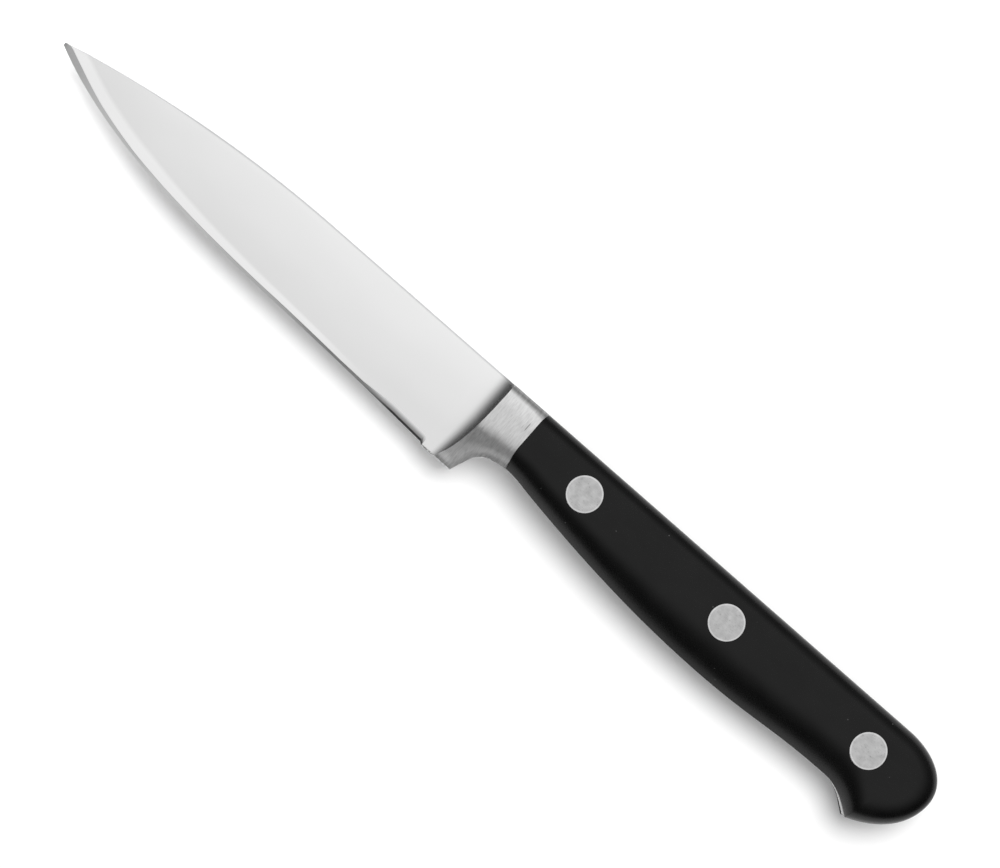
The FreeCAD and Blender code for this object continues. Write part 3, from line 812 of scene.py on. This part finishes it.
def finish_number(part, row):
    if part == "tang":
        return TANG_NUMBER
    if part == "bolster":
        return BOLSTER_NUMBER
    return EDGE_NUMBER if part in ("blade", "notch") and row > ROWS - BEVEL_ROWS else BLADE_NUMBER


rings = [ring(section) for section in sections]
around = len(rings[0])
verts = [point for points in rings for point in points]
tip, butt = list(range(around))[::-1], list(range(len(verts) - around, len(verts)))
faces, numbers = [tip, butt], [EDGE_NUMBER, TANG_NUMBER]
for station, part in enumerate(parts[1:]):
    for step in range(around):
        here, there = station * around + step, station * around + (step + 1) % around
        faces.append((here, there, there + around, here + around))
        numbers.append(finish_number(part, min(step, around - 1 - step)))
print(f"{len(rings)} rings of {around} points, {len(faces)} faces")

# %% [markdown]
# Where the blade runs out, points fall together, so doubles are merged before the normals are turned
# outwards. Smooth shading makes the rows look like one ground surface, and edges that turn by more
# than a few degrees are marked as sharp, which keeps the crease and the bevel crisp without more
# faces. The number above or below the shoulder of the bevel is stored for the finishes.

# %% Mesh of the forging
MERGE = 0.0005 * MM
CRISP = math.radians(16.0)


def mesh_object(name, mesh):
    piece = bpy.data.objects.new(name, mesh)
    bpy.context.scene.collection.objects.link(piece)
    return piece


def tidied(mesh):
    """Merge doubles, turn faces outwards and keep edges crisp that turn sharply."""
    shape = bmesh.new()
    shape.from_mesh(mesh)
    bmesh.ops.remove_doubles(shape, verts=shape.verts, dist=MERGE)
    bmesh.ops.dissolve_degenerate(shape, edges=shape.edges, dist=MERGE)
    bmesh.ops.recalc_face_normals(shape, faces=shape.faces)
    shape.to_mesh(mesh)
    shape.free()
    mesh.shade_smooth()
    mesh.set_sharp_from_angle(angle=CRISP)
    return mesh


mesh = bpy.data.meshes.new("blade_forging_dressed")
mesh.from_pydata(verts, [], faces)
for finish in (blade_finish, edge_finish, bolster_finish, tang_finish):
    mesh.materials.append(finish)
mesh.polygons.foreach_set("material_index", numbers)
above = mesh.attributes.new("above_edge", "FLOAT", "POINT")
shoulder = [section[1][-BEVEL_ROWS - 1] for section in sections]
bottom = [section[1][-1] for section in sections]
for index, point in enumerate(verts):
    station = index // around
    rise = (point.y - START.y) / MM - shoulder[station]
    above.data[index].value = rise / (HEEL_DEPTH if rise > 0 else shoulder[station] - bottom[station])
forging = mesh_object("blade_forging_dressed", tidied(mesh))
print(f"forging: {len(forging.data.polygons)} faces")

# %% [markdown]
# Each scale has a flat face with its own border, and a rim that rounds down from that border to the
# outline. A bevel modifier has one width all round, and this rim changes, so both lines are drawn as
# Bezier splines with the same knots, and the rim will span between them. A curve point has a radius
# and a tilt, which aren't needed for a plain line, so they carry `drop` and `cut` to the tree.

# %% Borders of the scales
SPLINE_STEPS = 28


def inward(at):
    """From a knot on the outline to the border of the flat face."""
    if at.leave == at.arrive:
        return towards(at.arrive + 90.0) * at.rim
    if at.x == JOINT:
        return Vector((0.0, at.rim if at.y < 0 else -at.rim, 0.0))
    turn = math.radians(at.leave - at.arrive) / 2
    return towards((at.leave + at.arrive) / 2 + 90.0) * at.rim / math.cos(turn)


def spans(places):
    """The straight distance from each place to the next one around."""
    return [(after - here).length for here, after in zip(places, places[1:] + places[:1])]


def add_spline(curve, knots, centres, ratios):
    spline = curve.splines.new("BEZIER")
    spline.bezier_points.add(len(knots) - 1)
    spline.use_cyclic_u = True
    spline.resolution_u = SPLINE_STEPS
    for index, (point, at, centre) in enumerate(zip(spline.bezier_points, knots, centres)):
        before = centre - towards(at.arrive) * at.reach_in * ratios[index - 1]
        after = centre + towards(at.leave) * at.reach_out * ratios[index]
        point.handle_left_type = point.handle_right_type = "FREE"
        point.co = in_frame(*centre.xy).xy.to_3d()
        point.handle_left = in_frame(*before.xy).xy.to_3d()
        point.handle_right = in_frame(*after.xy).xy.to_3d()
        point.radius = at.drop
        point.tilt = at.cut


def scale_curve(name, knots):
    """The outline of a scale and the border of its face, with handles in the same proportion."""
    curve = bpy.data.curves.new(name, "CURVE")
    curve.dimensions = "3D"
    outer = [Vector((at.x, at.y, 0.0)) for at in knots]
    inner = [place + inward(at) for place, at in zip(outer, knots)]
    ratios = [short / long for short, long in zip(spans(inner), spans(outer))]
    add_spline(curve, knots, outer, [1.0] * len(knots))
    add_spline(curve, knots, inner, ratios)
    return mesh_object(name, curve)


rims = [at.rim for at in HANDLE_KNOTS]
print(f"the rounding is {min(rims):.1f} mm wide at the spine and {max(rims):.1f} mm at the belly")

# %% [markdown]
# Geometry Nodes suit a piece whose shape follows a rule: the tree says the rule once, its named
# inputs hold the sizes, and both scales can be grown from it. These helpers start a tree, read values
# along a line, lay out a grid with the row and column of each point, and end the tree as real
# geometry with a material.

# %% Helpers for trees
def new_tree(name, sizes):
    """An empty geometry tree with named sizes, as a wire from its first input."""
    tree = bpy.data.node_groups.new(name, "GeometryNodeTree")
    tree.interface.new_socket("Geometry", in_out="INPUT", socket_type="NodeSocketGeometry")
    for size in sizes:
        tree.interface.new_socket(size, in_out="INPUT", socket_type="NodeSocketFloat")
    tree.interface.new_socket("Material", in_out="INPUT", socket_type="NodeSocketMaterial")
    tree.interface.new_socket("Geometry", in_out="OUTPUT", socket_type="NodeSocketGeometry")
    return Wire(tree, tree.nodes.new("NodeGroupInput").outputs[0])


def sampled(wire, geometry, value, index, kind="FLOAT_VECTOR"):
    return wire.add("GeometryNodeSampleIndex", {"data_type": kind}, {
        "Geometry": geometry, "Value": value, "Index": index,
    })


def grid_of(wire, across, down):
    """A grid of vertices, with the column and the row of each as fields."""
    grid = wire.add("GeometryNodeMeshGrid", {}, {
        "Size X": across - 1, "Size Y": down - 1, "Vertices X": across, "Vertices Y": down,
    })
    place = wire.add("ShaderNodeSeparateXYZ", {}, {0: wire.add("GeometryNodeInputPosition")})
    column = wire.maths("ROUND", place + (across - 1) / 2)
    row = wire.maths("ROUND", place.other("Y") + (down - 1) / 2)
    return grid, column, row


def closed_tree(wire, shape):
    """End a tree as the export needs it: real geometry with a material."""
    real = wire.add("GeometryNodeRealizeInstances", {}, {0: shape})
    painted = wire.add("GeometryNodeSetMaterial", {}, {0: real, "Material": wire.other("Material")})
    wire.tree.links.new(painted.socket, wire.tree.nodes.new("NodeGroupOutput").inputs[0])
    print("tree:", wire.tree.name, "with", len(wire.tree.nodes), "nodes")
    return wire.tree


print("tree helpers: new_tree, sampled, grid_of, closed_tree")

# %% [markdown]
# The rim is a grid that is bent into place. Row 0 lies on the seat, where the scale meets the tang,
# row 1 on the outline, and the others climb a part of an ellipse to the border of the face. `cut`
# says at which angle that part starts: 0 is a full quarter round, upright at the outline.

# %% The rounded rim
def rounded_rim(wire, points):
    seat, face, rows = wire.other("Seat"), wire.other("Face"), wire.other("Rows")
    count = wire.add("GeometryNodeAttributeDomainSize", {"component": "CURVE"}, {0: points}) / 2
    grid, column, row = grid_of(wire, count + 1, rows)
    index = wire.maths("MODULO", column, count)
    position = wire.add("GeometryNodeInputPosition")
    outer = sampled(wire, points, position, index)
    inner = sampled(wire, points, position, index + count)
    drop = sampled(wire, points, wire.add("GeometryNodeInputRadius"), index, "FLOAT") * MM
    cut = sampled(wire, points, wire.add("GeometryNodeInputCurveTilt"), index, "FLOAT")
    lowest = wire.maths("ARCSINE", cut)
    angle = lowest + wire.maths("MAXIMUM", row - 1, 0.0) / (rows - 2) * (math.pi / 2 - lowest)
    side = wire.maths("SIGN", face - seat)
    height = wire.add("GeometryNodeSwitch", {"input_type": "FLOAT"}, {
        "Switch": wire.maths("LESS_THAN", row, 0.5),
        "False": face - side * drop * (1 - wire.maths("SINE", angle)) / (1 - cut), "True": seat,
    })
    spread = wire.add("ShaderNodeMix", {"data_type": "VECTOR"}, {
        0: 1 - wire.maths("COSINE", angle) / wire.maths("COSINE", lowest), 4: outer, 5: inner,
    }, out=1)
    lift = wire.add("ShaderNodeCombineXYZ", {}, {"Z": height})
    place = wire.add("ShaderNodeVectorMath", {"operation": "ADD"}, {0: spread, 1: lift})
    return wire.add("GeometryNodeSetPosition", {}, {"Geometry": grid, "Position": place})


SCALE_ROWS = 18
print(f"the rim has {SCALE_ROWS - 1} rows from the outline to the face")

# %% [markdown]
# Two filled curves close the scale: the outline on the seat and the border on the face. Then the
# front is raked, because it has to follow the sloped rear face of the bolster. Every point slides
# back by its depth below the face, and the slide fades out within a few millimetres.

# %% A tree for the scales
def filled_caps(wire, points):
    caps = []
    for number, level in enumerate(("Seat", "Face")):
        chosen = wire.add("FunctionNodeCompare", {"data_type": "INT", "operation": "EQUAL"}, {
            "A": wire.add("GeometryNodeInputIndex"), "B": number,
        })
        line = wire.add("GeometryNodeSeparateGeometry", {"domain": "CURVE"}, {
            0: points, "Selection": chosen,
        })
        filled = wire.add("GeometryNodeFillCurve", {}, {"Curve": line})
        lift = wire.add("ShaderNodeCombineXYZ", {}, {"Z": wire.other(level)})
        caps.append(wire.add("GeometryNodeSetPosition", {}, {"Geometry": filled, "Offset": lift}))
    return caps


def scale_tree():
    wire = new_tree("rounded_scale", ("Seat", "Face", "Rows", "Front", "Rake", "Rake Reach"))
    points = wire.add("GeometryNodeResampleCurve", {"mode": "EVALUATED"}, {"Curve": wire})
    joined = wire.add("GeometryNodeJoinGeometry")
    for shape in (rounded_rim(wire, points), *filled_caps(wire, points)):
        wire.tree.links.new(shape.socket, joined.socket.node.inputs[0])
    place = wire.add("ShaderNodeSeparateXYZ", {}, {0: wire.add("GeometryNodeInputPosition")})
    behind = (place - wire.other("Front")) / wire.other("Rake Reach")
    depth = wire.maths("ABSOLUTE", wire.other("Face") - place.other("Z"))
    slide = wire.other("Rake") * wire.maths("MAXIMUM", 1 - behind, 0.0) * depth
    raked = wire.add("GeometryNodeSetPosition", {}, {
        "Geometry": joined, "Offset": wire.add("ShaderNodeCombineXYZ", {}, {"X": slide}),
    })
    merged = wire.add("GeometryNodeMergeByDistance", {}, {"Geometry": raked, "Distance": MERGE})
    return closed_tree(wire, merged)


scale_rule = scale_tree()

# %% [markdown]
# The two scales are mirror twins, apart from the beak. Each grows from its own pair of lines, with
# the seat on its side of the tang. The result is kept as a plain mesh and the modifier goes away with
# its source, because the pieces are handed over as finished shapes.

# %% Scales
RAKE_REACH = 6.0


def evaluated_mesh(source):
    graph = bpy.context.evaluated_depsgraph_get()
    result = source.evaluated_get(graph)
    return bpy.data.meshes.new_from_object(result, preserve_all_data_layers=True, depsgraph=graph)


def grown(source, tree, name, material, sizes):
    """Set a tree's inputs on the source object, evaluate it and keep the result as a plain mesh."""
    modifier = source.modifiers.new(tree.name, "NODES")
    modifier.node_group = tree
    for item in tree.interface.items_tree:
        if item.in_out == "INPUT" and item.name in sizes:
            modifier[item.identifier] = float(sizes[item.name])
        if item.in_out == "INPUT" and item.name == "Material":
            modifier[item.identifier] = material
    mesh = evaluated_mesh(source)
    mesh.name = name
    source.modifiers.remove(modifier)
    bpy.data.objects.remove(source)
    return mesh_object(name, tidied(mesh))


scales = {}
for side, sign, knots in (("near", 1.0, NEAR_KNOTS), ("far", -1.0, HANDLE_KNOTS)):
    lines = scale_curve(f"{side}_scale_lines", knots)
    scales[side] = grown(lines, scale_rule, f"{side}_scale_dressed", plastic, {
        "Seat": START.z + sign * HALF_TANG * MM, "Face": START.z + sign * HALF * MM, "Rows": SCALE_ROWS,
        "Front": in_frame(JOINT, 0).x, "Rake": JOINT_SLOPE, "Rake Reach": RAKE_REACH * MM,
    })
    print(f"{side} scale: {len(scales[side].data.polygons)} faces")

# %% [markdown]
# A cutler's rivet is turned on a lathe, so its tree is a lathe: it takes half of the section as a
# line, with the radius along x and the height along z, spins it on a grid, and puts a copy on each of
# the evenly spaced places along the handle. One rivet could be modelled and copied by hand, but the
# tree can also turn the drills for the holes later on.

# %% A tree for the rivets
def rivet_tree():
    sizes = ("Sides", "Count", "First X", "First Y", "Step X", "Step Y", "Middle")
    wire = new_tree("turned_rivets", sizes)
    line = wire.add("GeometryNodeResampleCurve", {"mode": "EVALUATED"}, {"Curve": wire})
    count = wire.add("GeometryNodeAttributeDomainSize", {"component": "CURVE"}, {0: line})
    grid, column, row = grid_of(wire, wire.other("Sides") + 1, count)
    place = wire.add("ShaderNodeSeparateXYZ", {}, {
        0: sampled(wire, line, wire.add("GeometryNodeInputPosition"), row),
    })
    angle = column / wire.other("Sides") * (2 * math.pi)
    spun = wire.add("ShaderNodeCombineXYZ", {}, {
        "X": place * wire.maths("COSINE", angle), "Y": place * wire.maths("SINE", angle),
        "Z": place.other("Z") + wire.other("Middle"),
    })
    marked = wire.add("GeometryNodeStoreNamedAttribute", {"data_type": "FLOAT", "domain": "POINT"}, {
        "Geometry": grid, "Name": "from_axis", "Value": place / MM,
    })
    turned = wire.add("GeometryNodeSetPosition", {}, {"Geometry": marked, "Position": spun})
    one = wire.add("GeometryNodeMergeByDistance", {}, {"Geometry": turned, "Distance": MERGE})
    first = wire.add("ShaderNodeCombineXYZ", {}, {"X": wire.other("First X"), "Y": wire.other("First Y")})
    step = wire.add("ShaderNodeCombineXYZ", {}, {"X": wire.other("Step X"), "Y": wire.other("Step Y")})
    places = wire.add("GeometryNodeMeshLine", {}, {
        "Count": wire.other("Count"), "Start Location": first, "Offset": step,
    })
    copies = wire.add("GeometryNodeInstanceOnPoints", {}, {"Points": places, "Instance": one})
    return closed_tree(wire, copies)


rivet_rule = rivet_tree()

# %% [markdown]
# Each rivet is two pieces: a hollow sleeve with a head on the near side, and a post with a head on the
# far side that is pressed into it. Both have the same head, ground flush, and only a narrow round at
# its rim catches the light. So the sections share the line of the head and differ below it.

# %% Sections of the rivets
rivet_low, rivet_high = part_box("front_rivet_sleeve")
HEAD = (rivet_high.x - rivet_low.x) / 2 / MM
HEAD_DEPTH, END_GAP = 2.0, 0.3
HEAD_SEAT = HALF - HEAD_DEPTH
FAR_END = END_GAP - HEAD_SEAT  # where sleeve and post end, just short of the other head
SLEEVE, POST, BORE = 2.5, 1.5, 1.55
RIM = 0.1
RIM_GUIDES = (0.55, 0.4)  # rings on the flat head, so that the paler rim starts cleanly
RIM_TURNS = [math.radians(angle) for angle in range(0, 91, 15)]

head_line = [(0.0, HALF)] + [(HEAD - inset, HALF) for inset in RIM_GUIDES]
for turn in RIM_TURNS:
    head_line.append((HEAD - RIM + RIM * math.sin(turn), HALF - RIM + RIM * math.cos(turn)))
head_line.append((HEAD, HEAD_SEAT))
sleeve_line = head_line + [
    (SLEEVE, HEAD_SEAT), (SLEEVE, FAR_END), (BORE, FAR_END), (BORE, HEAD_SEAT), (0.0, HEAD_SEAT),
]
post_line = head_line + [(POST, HEAD_SEAT), (POST, FAR_END), (0.0, FAR_END)]
print(f"rivet heads are {2 * HEAD:.1f} mm wide")

# %% [markdown]
# The frame knows where the first and the last rivet are, and the middle one is halfway. The post is
# the same turning upside down, so its section is drawn with the height reversed.

# %% Rivets
RIVET_SIDES, RIVET_COUNT = 72, 3


def centre_of(node):
    low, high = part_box(node)
    return (low + high) / 2


def section_curve(name, line, sign):
    curve = bpy.data.curves.new(name, "CURVE")
    curve.dimensions = "3D"
    spline = curve.splines.new("POLY")
    spline.points.add(len(line) - 1)
    for point, (radius, height) in zip(spline.points, line):
        point.co = (radius * MM, 0.0, sign * height * MM, 1.0)
    return mesh_object(name, curve)


first, last = centre_of("front_rivet_sleeve"), centre_of("rear_rivet_sleeve")
gap = (last - first) / (RIVET_COUNT - 1)
RIVET_SPOTS = {
    "Sides": RIVET_SIDES, "Count": RIVET_COUNT, "First X": first.x, "First Y": first.y,
    "Step X": gap.x, "Step Y": gap.y, "Middle": START.z,
}


def turned_pieces(name, line, sign=1.0):
    section = section_curve(f"{name}_section", line, sign)
    return grown(section, rivet_rule, name, steel, RIVET_SPOTS)


sleeves = turned_pieces("rivet_sleeves_dressed", sleeve_line)
posts = turned_pieces("rivet_posts_dressed", post_line, sign=-1.0)
print(f"rivets: {len(sleeves.data.polygons) + len(posts.data.polygons)} faces")

# %% [markdown]
# The scales and the tang are drilled for the rivets, as on the bench: a hole for the sleeve right
# through, and a wider seat for each head. Discs laid on top would look the same from here, but the
# pieces are also handed over one by one. So the drills are turned by the same tree, and an exact
# boolean takes them away.

# %% Drill the holes
FIT = 0.05
OVERRUN = 1.0
WIDE, NARROW, OUTSIDE = HEAD + FIT, SLEEVE + FIT, HALF + OVERRUN
drill_line = [
    (0.0, OUTSIDE), (WIDE, OUTSIDE), (WIDE, HEAD_SEAT), (NARROW, HEAD_SEAT),
    (NARROW, -HEAD_SEAT), (WIDE, -HEAD_SEAT), (WIDE, -OUTSIDE), (0.0, -OUTSIDE),
]
drills = turned_pieces("drills", drill_line)
for piece in (forging, scales["near"], scales["far"]):
    hole = piece.modifiers.new("drilled", "BOOLEAN")
    hole.object = drills
    hole.operation = "DIFFERENCE"
    hole.solver = "EXACT"
    hole.material_mode = "INDEX"
    mesh = evaluated_mesh(piece)
    piece.modifiers.remove(hole)
    piece.data = mesh
    mesh.set_sharp_from_angle(angle=CRISP)
    print(f"{piece.name}: {len(mesh.polygons)} faces after drilling")
bpy.data.objects.remove(drills)

# %% [markdown]
# The table is a plain white sheet that takes the shadow. More light would make it whiter, but would
# also wash out the knife, so the sheet glows a little for the camera and for mirror reflections only,
# and that adds no light to the knife's matt parts.

# %% Table
TABLE_SIZE = 8.0
TABLE_SHADE, TABLE_GLOW = 0.9, 0.08


def table_white():
    material = new_material("table_white")
    wire = Wire(material.node_tree)
    path = wire.add("ShaderNodeLightPath")
    mirrored = wire.maths("MAXIMUM", path.other("Is Glossy Ray"), path.other("Is Transmission Ray"))
    seen = wire.maths("MAXIMUM", path.other("Is Camera Ray"), mirrored)
    matt = wire.add("ShaderNodeBsdfDiffuse", {}, {"Color": grey(TABLE_SHADE)})
    glow = wire.add("ShaderNodeEmission", {}, {"Color": grey(1.0), "Strength": seen * TABLE_GLOW})
    both = wire.add("ShaderNodeAddShader", {}, {0: matt, 1: glow})
    wire.add("ShaderNodeOutputMaterial", {}, {"Surface": both})
    return material


side = TABLE_SIZE / 2
sheet = bpy.data.meshes.new("table")
corners = [(-side, -side, 0), (side, -side, 0), (side, side, 0), (-side, side, 0)]
sheet.from_pydata(corners, [], [(0, 1, 2, 3)])
sheet.materials.append(table_white())
table = mesh_object("table", sheet)
print(f"table: {TABLE_SIZE:.0f} m square")

# %% [markdown]
# Polished steel looks like what it mirrors. In the studio that is a white diffuser overhead in a dim
# room, so the world is a dome that is bright at the top and dark towards the sides, a little brighter
# on the side of the spine. Real softboxes could be modelled, but a few stops on a ramp give the same
# gradient with less noise.

# %% Dome
DOME_STOPS = (
    (0.0, 0.03), (0.26, 0.04), (0.41, 0.08), (0.545, 0.16), (0.67, 0.31),
    (0.766, 0.5), (0.866, 0.72), (0.94, 0.93), (0.98, 1.0),
)
SPINE_SIDE, BELLY_SIDE = 0.32, 0.09
world = bpy.data.worlds.new("studio_dome")
bpy.context.scene.world = world
world.use_nodes = True
world.node_tree.nodes.clear()
wire = Wire(world.node_tree)
direction = wire.add("ShaderNodeSeparateXYZ", {}, {0: wire.add("ShaderNodeTexCoord", out="Generated")})
overhead = wire.add("ShaderNodeValToRGB", {"stops": DOME_STOPS}, {"Fac": direction.other("Z")})
across = direction.other("Y")
spine_side = wire.maths("MAXIMUM", across, 0.0) * SPINE_SIDE
belly_side = wire.maths("MAXIMUM", 0 - across, 0.0) * BELLY_SIDE
glow = wire.add("ShaderNodeBackground", {}, {"Color": overhead + spine_side + belly_side})
wire.add("ShaderNodeOutputWorld", {}, {"Surface": glow})
print("dome with", len(DOME_STOPS), "stops from the horizon to the top")

# %% [markdown]
# A broad lamp from the side of the spine throws the soft shadow along the edge and the belly. A small
# spot from the other side takes a part of that shadow away again just before the tip, where the
# photograph is almost white. Both lamps are left out of mirror reflections, as lamps behind a large
# diffuser would be too dim to see there.

# %% Lamps
def placed_lamp(light, place, aim):
    lamp = bpy.data.objects.new(light.name, light)
    lamp.location = place
    lamp.rotation_euler = (Vector(aim) - lamp.location).to_track_quat("-Z", "Y").to_euler()
    lamp.visible_glossy = False
    bpy.context.scene.collection.objects.link(lamp)
    print(f"lamp: {light.name}, {light.energy:.1f} W")


broad = bpy.data.lights.new("spine_side_lamp", "AREA")
broad.shape = "DISK"
broad.size = 0.65
broad.energy = 7.8
placed_lamp(broad, place=(0.10, 0.36, 0.92), aim=(0.0, 0.0, 0.0))

fill = bpy.data.lights.new("tip_fill", "SPOT")
fill.spot_size = math.radians(13.0)
fill.spot_blend = 1.0
fill.shadow_soft_size = 0.01
fill.energy = 6.7
placed_lamp(fill, place=(-0.25, -0.12, 0.55), aim=(-0.136, -0.002, 0.0))

# %% [markdown]
# The camera looks straight down, turned so that the knife lies across the picture from upper left to
# lower right. Its place could be found by trial, but it follows from the scale of the photograph at
# the middle plane of the knife, which also fixes the lens.

# %% Camera
IMAGE_WIDTH = 1000
PIXELS_PER_MM = 5.6
TURN = 41.23
LOOK_AT = (104.4, -8.3)
DISTANCE = 0.7
camera_data = bpy.data.cameras.new("photo_camera")
camera_data.sensor_fit = "HORIZONTAL"
camera_data.lens = camera_data.sensor_width * DISTANCE / (IMAGE_WIDTH / PIXELS_PER_MM * MM)
camera = bpy.data.objects.new("photo_camera", camera_data)
camera.location = in_frame(*LOOK_AT) + Vector((0.0, 0.0, DISTANCE))
camera.rotation_euler = (0.0, 0.0, math.radians(TURN))
bpy.context.scene.collection.objects.link(camera)
bpy.context.scene.camera = camera
bpy.context.scene.view_settings.view_transform = "Standard"
print(f"lens {camera_data.lens:.0f} mm")

# %% [markdown]
# Last, each piece is tied to the body that it moves with, and the imported pieces that it stands for
# are hidden.

# %% Hand the pieces to the frame
RIVETS = ("front", "middle", "rear")
handed = (
    (forging, "blade_steel", ["blade_forging"]),
    (scales["near"], "black_scale", ["near_scale"]),
    (scales["far"], "black_scale", ["far_scale"]),
    (sleeves, "rivet_steel", [f"{name}_rivet_sleeve" for name in RIVETS]),
    (posts, "rivet_steel", [f"{name}_rivet_post" for name in RIVETS]),
)
for piece, slot, nodes in handed:
    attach(piece, "root")
    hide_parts(*nodes)
